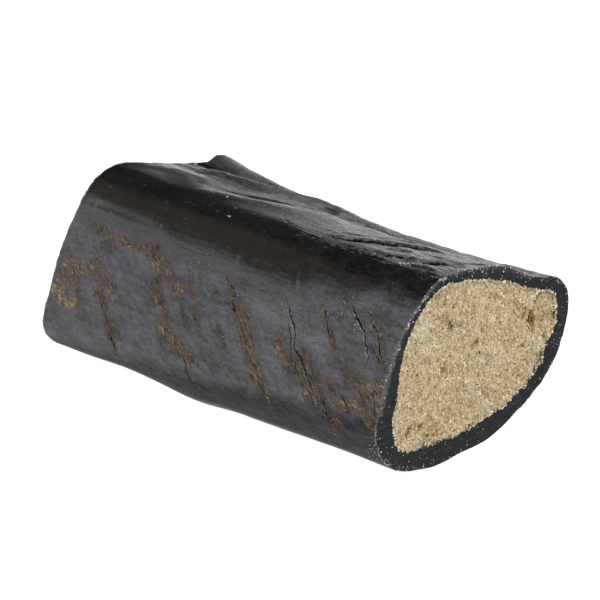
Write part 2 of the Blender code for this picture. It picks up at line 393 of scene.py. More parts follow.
FORM = HornForm()
SKIN_FOLDS = (
    Fold(
        ((-50, 17), (-44, 18), (-35, 18.4), (-26, 18.2), (-14, 18.4), (-5, 18.2), (3, 18.5),
         (12, 20), (20, 22)),
        (0, -0.6, -0.8, -1.1, -1.5, -1.8, -1.7, -0.9, 0), 2.0,
    ),
    Fold(
        ((-18, 1.6), (-12.6, 3.4), (-8.7, 4.9), (-4.9, 6.5), (0.3, 6.5), (4, 6.4), (10, 5.4)),
        (0, -0.2, -0.6, -1.1, -1, -0.6, 0), 1.5,
    ),
    Fold(
        ((-22, 3.6), (-16, 4.4), (-12.6, 5.6), (-8.7, 7.1), (-4.9, 8.8), (0.3, 9), (4, 8.8), (9, 8)),
        (0, 0.7, 0.9, 0.9, 0.9, 0.9, 0.6, 0), 1.0,
    ),
    Fold(((-57.5, 21), (-52.9, 21.8), (-48, 21)), (1.8, 2.2, 0.2), 1.6),
    Fold(((38, -10), (44, -8), (50, -5.5), (56, -3)), (0, 0.5, 0.6, 0.4), 0.9),
)


@dataclass(frozen=True)
class Mark:
    """A soft mark on the skin, along a route of (x, z) points on the flank or (x, y) points on the top."""

    route: Points
    reach: float
    strength: float = 1.0

    def share(self, x: Array, other: Array) -> Array:
        """How strong the mark is at each place."""
        return self.strength * near_route(x, other, self.route, self.reach)


@dataclass(frozen=True)
class Peel(Mark):
    """A place on the front flank where the outer layer has come off and brown fibre shows.

    tan is how pale its fibre is, from 0 for brown to 1 for tan.
    """

    tan: float = 0.0


@dataclass(frozen=True)
class Crack:
    """A split in the skin.

    The route has (x, z) points on the flank, or (x, y) points on the top. Cracks that run close to each
    other are in different sets. lift is how far the layer on the route's left stands up at the crack.
    """

    route: Points
    depth: float
    set_number: int = 0
    lift: float = 0.0

    def beside(self, x: Array, other: Array, reach: float = CRACK_REACH) -> tuple[Array, Array]:
        """Distances from the crack.

        Args:
            x: places along the horn.
            other: heights, or breadths for a crack of the top.
            reach: distance at which the strength has faded to nothing.

        Returns:
            The distance with its side as the sign, and the crack's strength there, which fades at its ends.
        """
        side = np.full(x.shape, NO_CRACK)
        strength = np.zeros(x.shape)
        parts = len(self.route) - 1
        for number, (start, end) in enumerate(zip(self.route, self.route[1:])):
            t, away = along_segment(x, other, start, end)
            turn = np.sign((end[0] - start[0]) * (other - start[1]) - (end[1] - start[1]) * (x - start[0]))
            nearer = away < np.abs(side)
            side = np.where(nearer, away * turn, side)
            along = (number + t) / parts
            tapered = self.depth * np.minimum(1, 5 * np.minimum(along, 1 - along))
            strength = np.where(nearer, tapered, strength)
        return side, strength * smooth_step(reach - np.abs(side), 0, 0.5)


@dataclass(frozen=True)
class SkinWearAndPaintedLight:
    """Where the skin has peeled and cracked and where it is polished, and where the top and the flank get
    painted shade, painted sheen and painted highlights.
    """

    peels: tuple[Peel, ...] = (
        Peel(((-55, 29), (-51, 28.5), (-47, 29)), 2.2, 0.67, 0.45),
        Peel(((-55, 25), (-50, 24.5)), 2.0, 0.66, 0.5),
        Peel(((-55.5, 22), (-52, 21), (-48.5, 20.5)), 1.8, 1.0, 1.0),
        Peel(((-51, 26.5), (-48, 24.5), (-43, 18.5)), 1.2, 0.75, 0.1),
        Peel(((-44, 30), (-39.5, 28.5), (-35, 27)), 1.6, 0.85, 0.2),
        Peel(((-40, 25), (-35.5, 21.5), (-32, 18), (-29.5, 16.5)), 1.7, 0.9, 0.1),
        Peel(((-33, 17), (-31, 15), (-30, 12)), 0.7, 0.8),
        Peel(((-50, 38.5), (-45, 38.5), (-40, 38), (-35, 37.8), (-28, 38.3)), 0.7, 0.8, 0.15),
        Peel(((-45, 38), (-42, 37), (-39, 35.5)), 0.8, 0.7, 0.1),
        Peel(((-27.5, 38.5), (-24.5, 37.5), (-20.5, 36.5)), 1.2, 0.9, 0.1),
        Peel(((-23.5, 35), (-18, 34), (-14, 33)), 1.8, 0.9, 0.25),
        Peel(((-22, 31.5), (-20, 29), (-17, 27.5), (-14, 26)), 1.5, 0.85, 0.1),
        Peel(((-15.5, 23), (-11, 21), (-7, 19.5), (-4, 18)), 1.6, 0.95, 0.2),
        Peel(((-5, 17), (-4, 14.5), (-2, 12)), 0.7, 0.7),
        Peel(((-11.3, 31), (-8.5, 27), (-7, 24.5)), 0.7, 0.75),
        Peel(((-11.3, 35), (-7.5, 31.5), (-4, 27), (-0.5, 23.5)), 0.7, 0.8),
        Peel(((2, 29), (5, 26), (7.5, 23)), 0.8, 0.6),
        Peel(((3, 21), (6, 19.5), (10, 20)), 1.0, 0.6, 0.1),
        Peel(((-0.5, 38), (3, 36), (5, 33.5), (9, 30), (13, 26)), 1.0, 0.85, 0.1),
        Peel(((8, 33), (11.5, 29.5), (14.5, 25.5), (17, 22), (21, 18), (23, 15.5)), 1.9, 0.85, 0.15),
        Peel(((17, 19), (16, 16), (14.5, 13)), 0.9, 0.7),
        Peel(((22, 29.5), (26, 27), (29.5, 24), (32.5, 23), (35.5, 21.5)), 1.6, 0.85, 0.1),
        Peel(((31.5, 28), (35, 24), (38, 21), (42, 18.5), (44.5, 16.5)), 2.4, 0.85, 0.1),
        Peel(((36, 25), (40, 24), (44, 23), (47.5, 20)), 1.8, 0.7, 0.1),
        Peel(((45, 29), (49.5, 27), (53, 25)), 2.2, 0.75, 0.2),
        Peel(((47, 21), (50.5, 22), (54, 21.5), (57, 20)), 2.2, 1.0, 0.25),
        Peel(((55, 29), (57, 25)), 1.6, 0.8, 0.15),
        Peel(((31.5, 39), (34.5, 37), (37.5, 34.5), (40, 32)), 0.9, 0.75),
        Peel(((46.5, 40), (50, 38.5), (52, 36), (55.5, 32.5)), 1.1, 0.85, 0.3),
    )
    cracks: tuple[Crack, ...] = (
        Crack(((18, 40), (20.5, 38), (22, 37), (22.5, 36), (25, 34), (26.5, 32.5), (27.5, 29.5), (31.5, 26.5),
               (34.5, 24), (35.5, 22.5), (39, 19)), 0.95),
        Crack(((22.4, 35.6), (24, 33.2), (26, 30.5), (27.5, 27.5), (31, 24.5), (34, 21)), 0.6, 1),
        Crack(((38.5, 21), (41.5, 17.5), (44, 15)), 1.0, 1),
        Crack(((45, 23), (48, 20.5), (49, 19)), 0.7),
        Crack(((39, 42), (41.5, 40), (45, 38.3), (47.5, 36), (49.5, 33.3), (50.5, 31)), 1.2, 1),
        Crack(((46.5, 39.8), (50, 38), (52, 35.5), (55.5, 32)), 0.95),
        Crack(((50, 35.5), (52, 34), (54.5, 32)), 0.7, 1),
        Crack(((31.5, 39), (34.5, 37), (37, 34)), 0.6),
        Crack(((-34, 18), (-31, 15), (-30.5, 12)), 0.8),
        Crack(((-41, 26), (-37, 22), (-33.5, 19)), 0.5, 1),
        Crack(((-1, 38.5), (3, 36), (5, 33.5), (7, 31)), 0.5),
        Crack(((-6, 19), (-4, 14), (-2.5, 12)), 0.6),
        Crack(((-11.5, 30), (-9, 27), (-7, 24)), 0.4, 1),
        Crack(((9, 30), (13, 26), (16.5, 22)), 0.4, 1),
        Crack(((-27, 38.5), (-23, 34), (-21, 31)), 0.4),
        Crack(((54, 27), (56, 23), (57, 19)), 0.5),
    )
    top_cracks: tuple[Crack, ...] = (
        Crack(((18.5, -10.4), (21.4, -8.3), (23, -7.1), (24.3, -5.5), (26.1, -3.8), (27.9, -2.1),
               (29.8, 0.2), (32.1, 2.6), (36.3, 5.3), (40, 7)), 3.4, 0, 0.32),
        Crack(((17, -5), (20.5, -3), (25, 2.8)), 1.2, 1),
        Crack(((34.5, -11.8), (36.5, -11), (38.3, -8.9), (40.6, -7.8), (44, -6.4)), 2.1, 0, 0.2),
        Crack(((33, -6.4), (36, -5), (40, -3.4)), 1.8, 1),
        Crack(((43, -10), (45, -8.6), (46.2, -6.9), (48.3, -5.3), (49.4, -4.1), (53, -1.5)), 2.4, 1, 0.3),
        Crack(((52, -1), (55, 3.6), (57, 6)), 1.4),
        Crack(((-23, 4.6), (-18.4, 6.6), (-15, 8.6), (-12, 11), (-9, 13.2), (-6, 15), (-3, 16)), 2.6, 1, 0.3),
        Crack(((2, -8.6), (4.8, -9.6), (7, -9.4)), 0.8),
        Crack(((5, -11), (8.5, -11), (12, -10.6)), 0.9, 1),
        Crack(((-22, 8), (-19, 11), (-15, 13), (-9, 14), (0, 15), (6, 16)), 0.8),
        Crack(((4, 16), (12, 18), (20, 22)), 0.6),
        Crack(((28, 8), (36, 11), (44, 12)), 0.6, 1),
        Crack(((38, 2), (46, 5), (52, 9)), 0.5),
        Crack(((-44, 30), (-30, 31), (-16, 30)), 0.7),
        Crack(((10, 32), (24, 31), (40, 33)), 0.6, 1),
    )
    # Ridges of the top painted pale: pale rubbing with a painted highlight.
    crest_highlights: tuple[Mark, ...] = (
        Mark(
            ((-54.6, 0.5), (-53.3, 4.5), (-51.5, 8.4), (-49.6, 13), (-46.5, 16.2), (-40, 17.8), (-33, 18.2),
             (-26, 18.2), (-18, 18.3), (-11, 18.3), (-4, 18.2), (6, 18.6)), 0.8, 0.8,
        ),
        Mark(((-20, 0.4), (-16, 1.8), (-12.6, 3.2), (-8.7, 4.6), (-4.9, 6.2), (0.3, 6.2), (4, 6), (9, 5)),
             0.9, 0.95),
        Mark(((24, -8.9), (26.8, -6.8), (29, -4.6), (31, -2)), 0.8, 0.75),
        Mark(((36, -12), (39, -9.7), (43, -7.9)), 0.5, 0.6),
        Mark(((45, -9.8), (48.5, -6.4), (52, -3.2)), 0.6, 0.7),
        Mark(((48, -10), (52, -8), (57, -5)), 1.4, 0.55),
        Mark(((6, 12), (14, 11.5), (20.7, 7)), 0.7, 0.55),
    )
    # Painted shade: routes on the top painted dark, in pockets, creases and just behind crests, where their
    # reflection is also taken away.
    painted_shade_routes: tuple[Mark, ...] = (
        Mark(((-57.5, 22.5), (-52.5, 24), (-49.5, 25)), 2.3, 0.95),
        Mark(((-45, 26), (-39, 27.5), (-33, 29)), 0.8, 0.8),
        Mark(((-23, 5), (-18.4, 7), (-15, 9), (-12, 11.4), (-9, 13.6), (-6, 15.4), (-3, 16.4)), 0.9, 0.8),
        Mark(((-56, -5), (-50, -1), (-45, 0), (-40, -3), (-34, -7)), 5.4, 0.82),
        Mark(((-50, 5), (-45.7, 5.5), (-40.7, 4.8), (-36, 0)), 2.7, 0.65),
        Mark(((2, 27.5), (6, 29.5), (10, 31)), 0.9, 0.7),
        Mark(((24, 3), (28, 7), (33, 10)), 1.1, 0.8),
    )
    # Painted sheen: pale patches of the top and the flank, painted lighter where sheen falls.
    painted_sheen_top: tuple[Mark, ...] = (
        Mark(((-24, 12.5), (-16, 13.5), (-8, 14), (0, 14), (8, 13.5), (14, 13)), 3.8, 0.95),
        Mark(((-42, 12), (-34, 12.5), (-26, 12)), 3.0, 0.4),
        Mark(((22, -9.5), (27, -6), (32, -5.5), (38, -7), (44, -5.5), (50, -2)), 2.4, 0.4),
        Mark(((-8, 1.5), (0, 0.8), (8, 1.5), (16, 2.5)), 4.0, 0.42),
        Mark(((-18, 0), (-12, 2), (-8, 3.5), (-4, 5), (2, 5), (8, 4.5), (14, 4)), 2.2, 0.45),
    )
    painted_sheen_flank: tuple[Mark, ...] = (Mark(((12, 36), (20, 35), (28, 33.5), (36, 31.5)), 3.0, 0.15),)
    # Where the scuffs, which also paint sheen, begin on the top.
    scuff_sheen_edge: Points = (
        (-60, -8), (-33, -8), (-20, -6), (-13, -7.6), (-7, -7.6), (-1, -7.4), (5, -10.5), (12, -14.4),
        (23, -15), (45, -14.7), (60, -13.9),
    )
    shoulder_line: Points = (
        (-56, 39), (-50, 38.5), (-40, 38), (-32, 37.7), (-26, 38.5), (-10, 38.8), (4, 39), (17, 38.5),
        (27, 39), (34, 38.8), (41, 39.8), (49, 40), (57, 41),
    )
    top_heights: tuple[float, float] = (33, 37)
    crack_heights: tuple[float, float] = (33, 38)
    painted_sheen_heights: tuple[float, float] = (36, 40)
    peel_gain: float = 1.15
    peel_spread: float = 1.08
    lift_reach: float = 7.0
    lift_fade: float = 2.8
    peel_wander: tuple[Layer, Layer] = (Layer(0.9, 2.6, 2.6, 5), Layer(0.9, 2.6, 2.6, 6))
    scuff_sheen_streaks: tuple[Layer, ...] = (Layer(1.3, 7, 1.4, 41), Layer(0.8, 2.5, 0.8, 42))
    painted_shade_wander: tuple[Layer, ...] = (Layer(0.5, 2, 2, 44), Layer(0.9, 6, 1.1, 45))
    crest_highlight_wander: tuple[Layer, ...] = (Layer(0.25, 9, 9, 43),)

    def peeled(self, at: Spots) -> tuple[Array, Array]:
        """How far the skin is peeled, and how pale the fibre is there, both from 0 to 1."""
        moved_x, moved_z = (axis + layer.read(at) for axis, layer in zip((at.x, at.z), self.peel_wander))
        bare, pale = np.zeros(at.z.shape), np.zeros(at.z.shape)
        for peel in self.peels:
            near = near_route(moved_x, moved_z, peel.route, peel.reach * self.peel_spread)
            here = np.minimum(self.peel_gain * near, 1)
            bare = np.maximum(bare, here * peel.strength)
            pale = np.maximum(pale, here * peel.tan)
        return bare * at.on_front, pale * at.on_front

    def scuff_sheen_share(self, at: Spots) -> Array:
        """How far the top has lost its polish and gets painted sheen, from 0 to 1."""
        edge = np.interp(at.x, *zip(*self.scuff_sheen_edge))
        streak = stacked(self.scuff_sheen_streaks, at)
        strength = 0.55 + 0.45 * smooth_step(at.x, -16, 10)
        strength = strength * smooth_step(at.x + 0.35 * at.y, -46, -38)
        return strength * smooth_step(at.y - edge + 0.6 * streak, -2.2, 4.8) * at.above(*self.top_heights)

    def strongest(self, marks: tuple[Mark, ...], at: Spots, breadth: Array) -> Array:
        """The strongest of these marks of the top, from 0 to 1, with each place taken at this breadth."""
        shares = [mark.share(at.x, breadth) for mark in marks]
        return np.max(shares, axis=0, initial=0) * at.above(*self.top_heights)

    def painted_shade_share(self, at: Spots) -> Array:
        """Where the top gets painted shade, from 0 to 1: in its pockets, creases and the places just behind
        its crests.
        """
        return self.strongest(self.painted_shade_routes, at, stacked(self.painted_shade_wander, at, at.y))

    def crest_highlight_share(self, at: Spots) -> Array:
        """Where the top's ridges get pale rubbing and a painted highlight, from 0 to 1."""
        return self.strongest(self.crest_highlights, at, stacked(self.crest_highlight_wander, at, at.y))

    def worn(self, at: Spots) -> Array:
        """Where the top and the flank get painted sheen, from 0 to 1."""
        on_top = sum(mark.share(at.x, at.y) for mark in self.painted_sheen_top)
        on_flank = sum(mark.share(at.x, at.z) for mark in self.painted_sheen_flank)
        return on_top * at.above(*self.painted_sheen_heights) * smooth_step(at.y, -15, -10) + on_flank * at.on_front

    def jagged(self, at: Spots) -> Spots:
        """Places moved a little at random, so that a straight route gives a jagged crack."""
        shift = [0.3 * at.noise(0.9, 0.9, seed) + 0.35 * at.noise(3.5, 3.5, seed + 50) for seed in (7, 8, 9)]
        return Spots(at.x + shift[0], at.y + shift[1], at.z + shift[2])

    def lifted(self, at: Spots) -> Array:
        """How far the layers behind the top's cracks stand up."""
        moved = self.jagged(at)
        height = np.zeros(at.z.shape)
        for crack in self.top_cracks:
            if crack.lift:
                side, strength = crack.beside(moved.x, moved.y, self.lift_reach)
                behind = smooth_step(side, -0.1, 0.3) * np.exp(-np.maximum(side, 0) / self.lift_fade)
                height += crack.lift * strength / crack.depth * behind
        return height * at.above(*self.crack_heights)

    def cracked(self, at: Spots) -> list[tuple[Array, Array]]:
        """The two sets of cracks, each as distances with their side and strengths."""
        moved = self.jagged(at)
        on_top = at.above(*self.crack_heights) * smooth_step(at.y, -20, -15)
        listed = [(crack, moved.z, at.on_front) for crack in self.cracks]
        listed += [(crack, moved.y, on_top) for crack in self.top_cracks]
        sets = []
        for wanted in (0, 1):
            side, strength = np.full(at.z.shape, NO_CRACK), np.zeros(at.z.shape)
            for crack, other, shown in listed:
                if crack.set_number == wanted:
                    here, depth = crack.beside(moved.x, other)
                    nearer = (depth * shown > 0) & (np.abs(here) < np.abs(side))
                    side = np.where(nearer, here, side)
                    strength = np.where(nearer, depth * shown, strength)
            sets.append((side, strength))
        return sets


WEAR_AND_PAINTED_LIGHT = SkinWearAndPaintedLight()


def leave_edit_mode() -> None:
    """Goes back to object mode if an object is being edited."""
    if bpy.context.object and bpy.context.object.mode != "OBJECT":
        bpy.ops.object.mode_set(mode="OBJECT")


def start_clean() -> None:
    """Leaves edit mode and deselects everything."""
    leave_edit_mode()
    bpy.ops.object.select_all(action="DESELECT")


def open_tube(name: str, columns: int, radius: float, length: float) -> Piece:
    """A cylinder without ends that lies along X, with its radius and length in millimetres."""
    start_clean()
    bpy.ops.mesh.primitive_cylinder_add(
        vertices=columns, radius=radius * MM, depth=length * MM,
        end_fill_type="NOTHING", rotation=(0, math.pi / 2, 0),
    )
    piece = bpy.context.object
    piece.name = piece.data.name = name
    bpy.ops.object.transform_apply(rotation=True)
    return piece


def turn_faces_out() -> None:
    """Turns the faces of the mesh that is being edited outwards, and leaves edit mode."""
    bpy.ops.mesh.select_all(action="SELECT")
    bpy.ops.mesh.normals_make_consistent(inside=False)
    bpy.ops.object.mode_set(mode="OBJECT")


def column_numbers(at: Array, columns: int) -> Array:
    """Which column of a tube each place stands on, counted round from the belly."""
    angle = np.arctan2(at[:, 2], at[:, 1]) + math.pi / 2
    return np.round(angle / (2 * math.pi) * columns).astype(int) % columns


def vertex_places(piece: Piece) -> Array:
    """The piece's vertices as an (n, 3) array."""
    places = np.empty(len(piece.data.vertices) * 3, np.float32)
    piece.data.vertices.foreach_get("co", places)
    return places.reshape(-1, 3).astype(float)


def move_vertices(piece: Piece, places: Array) -> None:
    """Puts the piece's vertices at the given places."""
    piece.data.vertices.foreach_set("co", places.astype(np.float32).ravel())
    piece.data.update()


def select_edges(piece: Piece, chosen: Array) -> None:
    """Selects only these edges and enters edit mode on them."""
    leave_edit_mode()
    mesh = piece.data
    mesh.polygons.foreach_set("select", np.zeros(len(mesh.polygons), bool))
    mesh.vertices.foreach_set("select", np.zeros(len(mesh.vertices), bool))
    mesh.edges.foreach_set("select", chosen)
    bpy.context.tool_settings.mesh_select_mode = (False, True, False)
    bpy.ops.object.mode_set(mode="EDIT")


def edge_ends(piece: Piece) -> tuple[Array, Array]:
    """The places of both ends of every edge."""
    leave_edit_mode()
    pairs = np.empty(len(piece.data.edges) * 2, np.int32)
    piece.data.edges.foreach_get("vertices", pairs)
    pairs = pairs.reshape(-1, 2)
    places = vertex_places(piece)
    return places[pairs[:, 0]], places[pairs[:, 1]]


def add_attribute(piece: Piece, name: str, values: Array) -> None:
    """Gives the piece's vertices a value that its material reads by name."""
    attribute = piece.data.attributes.new(name, "FLOAT", "POINT")
    attribute.data.foreach_set("value", np.asarray(values, np.float32).ravel())


def mesh_piece(name: str, points: Array, corners: Array) -> Piece:
    """An object made of triangles.

    Args:
        name: the piece's name.
        points: (n, 3) places in metres.
        corners: (m, 3) vertex numbers.

    Returns:
        The object, linked to the scene.
    """
    mesh = bpy.data.meshes.new(name)
    mesh.vertices.add(len(points))
    mesh.vertices.foreach_set("co", points.astype(np.float32).ravel())
    mesh.loops.add(corners.size)
    mesh.loops.foreach_set("vertex_index", corners.astype(np.int32).ravel())
    mesh.polygons.add(len(corners))
    mesh.polygons.foreach_set("loop_start", np.arange(0, corners.size, 3, dtype=np.int32))
    mesh.update(calc_edges=True)
    piece = bpy.data.objects.new(name, mesh)
    bpy.context.scene.collection.objects.link(piece)
    return piece


def in_frame(x: Array, section: Array) -> Array:
    """Section places in millimetres as row-frame places in metres."""
    x = np.broadcast_to(x, section.shape[:-1])
    return np.stack([x, section[..., 0] + SECTION_SHIFT, section[..., 1]], axis=-1) * MM


class Recipe:
    """A node tree with short ways to add the nodes that the finishes use."""

    def __init__(self, tree: bpy.types.NodeTree) -> None:
        """Keeps the tree that nodes are added to."""
        self.tree = tree

    def put(self, socket: Socket, value: object) -> None:
        """Links a socket into another, or sets the value on it."""
        if isinstance(value, Socket):
            self.tree.links.new(value, socket)
        elif isinstance(value, tuple) and len(value) == 3 and len(socket.default_value) == 4:
            socket.default_value = (*value, 1)
        else:
            socket.default_value = value

    def add(
        self, kind: str, inputs: dict[str | int, object] | None = None, **settings: object
    ) -> bpy.types.Node:
        """A new node with its properties and inputs set."""
        node = self.tree.nodes.new(kind)
        for name, value in settings.items():
            setattr(node, name, value)
        for name, value in (inputs or {}).items():
            self.put(node.inputs[name], value)
        return node

    def math(self, operation: str, *values: object) -> Socket:
        """The result of a Math node."""
        return self.add("ShaderNodeMath", dict(enumerate(values)), operation=operation).outputs[0]

    def times(self, first: object, second: object) -> Socket:
        """Two values multiplied."""
        return self.math("MULTIPLY", first, second)

    def plus(self, total: object, value: object, share: object) -> Socket:
        """A total with this share of a value added."""
        return self.math("MULTIPLY_ADD", value, share, total)

    def less(self, value: object, share: float) -> Socket:
        """What is left of 1 once this share of a value is taken off."""
        return self.plus(1, value, -share)

    def most(self, first: object, second: object) -> Socket:
        """The greater of two values."""
        return self.math("MAXIMUM", first, second)

    def sway(self, total: object, *shares: tuple[object, float]) -> Socket:
        """A total moved up or down by these shares of how far each value lies from its middle."""
        for value, share in shares:
            total = self.plus(total, self.math("SUBTRACT", value, 0.5), share)
        return total

    def between(
        self, value: object, low: object, high: object, to: tuple[float, float] = (0, 1)
    ) -> Socket:
        """A value mapped smoothly from low and high to the two results."""
        inputs = {"Value": value, "From Min": low, "From Max": high, "To Min": to[0], "To Max": to[1]}
        return self.add("ShaderNodeMapRange", inputs, interpolation_type="SMOOTHSTEP").outputs["Result"]

    def mix(self, share: object, first: object, second: object, blend: str = "MIX") -> Socket:
        """Two colours mixed."""
        inputs = dict(zip(MIX_COLOUR_SOCKETS, (share, first, second)))
        return self.add("ShaderNodeMix", inputs, data_type="RGBA", blend_type=blend).outputs[2]

    def blend(self, share: object, first: object, second: object) -> Socket:
        """Two numbers mixed."""
        inputs = dict(zip(MIX_NUMBER_SOCKETS, (share, first, second)))
        return self.add("ShaderNodeMix", inputs, data_type="FLOAT").outputs[0]

    def ramp(self, value: object, *stops: tuple[float, Colour]) -> Socket:
        """Colours along a value, from its stops."""
        node = self.add("ShaderNodeValToRGB", {0: value})
        while len(node.color_ramp.elements) < len(stops):
            node.color_ramp.elements.new(0.5)
        for element, (place, colour) in zip(node.color_ramp.elements, stops):
            element.position = place
            element.color = (*colour, 1)
        return node.outputs[0]

    def place(self, *scale: float) -> Socket:
        """Object coordinates, scaled along each axis."""
        vector = self.add("ShaderNodeTexCoord").outputs["Object"]
        return self.add("ShaderNodeMapping", {"Vector": vector, "Scale": scale}).outputs[0]

    def axes(self) -> bpy.types.bpy_prop_collection:
        """Object coordinates in millimetres, as the values X, Y and Z."""
        return self.add("ShaderNodeSeparateXYZ", {0: self.place(*(1 / MM,) * 3)}).outputs

    def vector(self, *values: object) -> Socket:
        """A vector of three values."""
        return self.add("ShaderNodeCombineXYZ", dict(enumerate(values))).outputs[0]

    def noise(self, vector: object, detail: float, rough: float, distortion: float = 0.0) -> Socket:
        """A noise texture's value, with one cell to a unit of the vector."""
        inputs = {"Vector": vector, "Scale": 1}
        inputs |= {"Detail": detail, "Roughness": rough, "Distortion": distortion}
        return self.add("ShaderNodeTexNoise", inputs).outputs[0]

    def grain(self, cells: tuple[float, float, float], detail: float, rough: float = 0.6) -> Socket:
        """Noise in the piece's own space, with this many cells to a metre along each axis."""
        return self.noise(self.place(*cells), detail, rough)

    def attribute(self, name: str) -> Socket:
        """A vertex value of the piece."""
        return self.add("ShaderNodeAttribute", attribute_name=name).outputs["Fac"]

    def group(self, tree: bpy.types.NodeTree, across: float, along: float, slice_at: float) -> Socket:
        """The output of one of the shared groups.

        Args:
            tree: the group.
            across: cells to a millimetre across its lines.
            along: cells to a millimetre along its lines.
            slice_at: picks another part of the noise.

        Returns:
            The group's value.
        """
        node = self.add("ShaderNodeGroup", node_tree=tree)
        for name, value in zip(("Across", "Along", "Slice"), (across, along, slice_at)):
            node.inputs[name].default_value = value
        return node.outputs[0]

    def bump(self, height: object, distance: float) -> Socket:
        """A normal bumped by a height, whose full scale stands for this distance in metres."""
        return self.add("ShaderNodeBump", {"Height": height, "Distance": distance}).outputs[0]


class SharedEffects:
    """Node groups that several finishes use, each with the inputs Across, Along and Slice."""

    def __init__(self) -> None:
        """Builds each group once."""
        self.streaks = self.build("ring_streaks", "Streak", self.add_streaks)
        self.striations = self.build("long_striations", "Striation", self.add_striations)

    def build(self, name: str, output: str, add_nodes: Callable[..., Socket]) -> bpy.types.NodeTree:
        """A shader node group.

        Args:
            name: the group's name.
            output: the name of what it puts out.
            add_nodes: adds its nodes from a recipe and the three inputs, and returns the socket put out.

        Returns:
            The group.
        """
        tree = bpy.data.node_groups.new(name, "ShaderNodeTree")
        for label in ("Across", "Along", "Slice"):
            tree.interface.new_socket(label, in_out="INPUT", socket_type="NodeSocketFloat")
        tree.interface.new_socket(output, in_out="OUTPUT", socket_type="NodeSocketFloat")
        recipe = Recipe(tree)
        given = recipe.add("NodeGroupInput")
        recipe.add("NodeGroupOutput", {output: add_nodes(recipe, *given.outputs[:3])})
        return tree

    def add_streaks(self, r: Recipe, across: Socket, along: Socket, slice_at: Socket) -> Socket:
        """Streaks that run with the growth rings, leaning as they do."""
        axes = r.axes()
        below = r.math("SUBTRACT", FORM.ring_top, axes["Z"])
        turned = r.math("SQRT", r.plus(FORM.ring_turn**2, below, below))
        lean = r.times(r.math("ADD", below, turned), FORM.ring_lean / 2)
        place = r.math("SUBTRACT", axes["X"], lean)
        y, z = r.times(axes["Y"], along), r.plus(slice_at, axes["Z"], along)
        return r.noise(r.vector(r.times(place, across), y, z), 3, 0.6, 0.3)

    def add_striations(self, r: Recipe, across: Socket, along: Socket, slice_at: Socket) -> Socket:
        """Fine lines that run along the horn, a little bent."""
        axes = r.axes()
        bend = r.grain((60, 60, 60), 1, 0.5)
        y, z = (r.plus(axes[name], bend, 3) for name in ("Y", "Z"))
        vector = r.vector(r.times(axes["X"], along), r.times(y, across), r.plus(slice_at, z, across))
        return r.noise(vector, 2, 0.55)


def new_material(name: str) -> tuple[bpy.types.Material, Recipe, bpy.types.Node]:
    """A material with a Principled shader.

    Args:
        name: the material's name.

    Returns:
        The material, a recipe on its nodes, and the shader.
    """
    material = bpy.data.materials.new(name)
    material.use_nodes = True
    return material, Recipe(material.node_tree), material.node_tree.nodes["Principled BSDF"]


@dataclass(frozen=True)
class SkinPatterns:
    """Uneven patterns that the skin's colour, roughness and relief share."""

    fine: Socket
    broad: Socket
    lines: Socket
    wide_lines: Socket
    wrinkle: Socket
    cloud: Socket
    mottle: Socket
    grit: Socket
    strand: Socket
    gaps: Socket

    @classmethod
    def draw(cls, r: Recipe, effects: SharedEffects) -> Self:
        """Adds the nodes of every pattern."""
        broad = r.between(r.group(effects.streaks, 0.8, 0.3, 40), 0.36, 0.64)
        grit = r.between(r.grain((2300, 2600, 2600), 2), 0.32, 0.68)
        strand, cross = r.group(effects.streaks, 2.0, 0.8, 80), r.group(effects.striations, 1.8, 0.45, 60)
        return cls(
            fine=r.between(r.group(effects.streaks, 1.2, 0.45, 0), 0.36, 0.64),
            broad=broad,
            lines=r.between(r.group(effects.striations, 2.2, 0.22, 0), 0.3, 0.7),
            wide_lines=r.between(r.group(effects.striations, 0.7, 0.05, 20), 0.34, 0.66),
            wrinkle=r.between(r.group(effects.striations, 1.2, 0.16, 30), 0.38, 0.62),
            cloud=r.between(r.grain((130, 230, 230), 3), 0.36, 0.64),
            mottle=r.between(r.grain((600, 1000, 1000), 2), 0.34, 0.66),
            grit=grit,
            strand=r.blend(r.between(broad, 0.5, 0.8, (0, 0.85)), strand, cross),
            gaps=r.between(r.sway(r.group(effects.streaks, 1.5, 0.55, 120), (grit, 0.06)), 0.50, 0.42),
        )


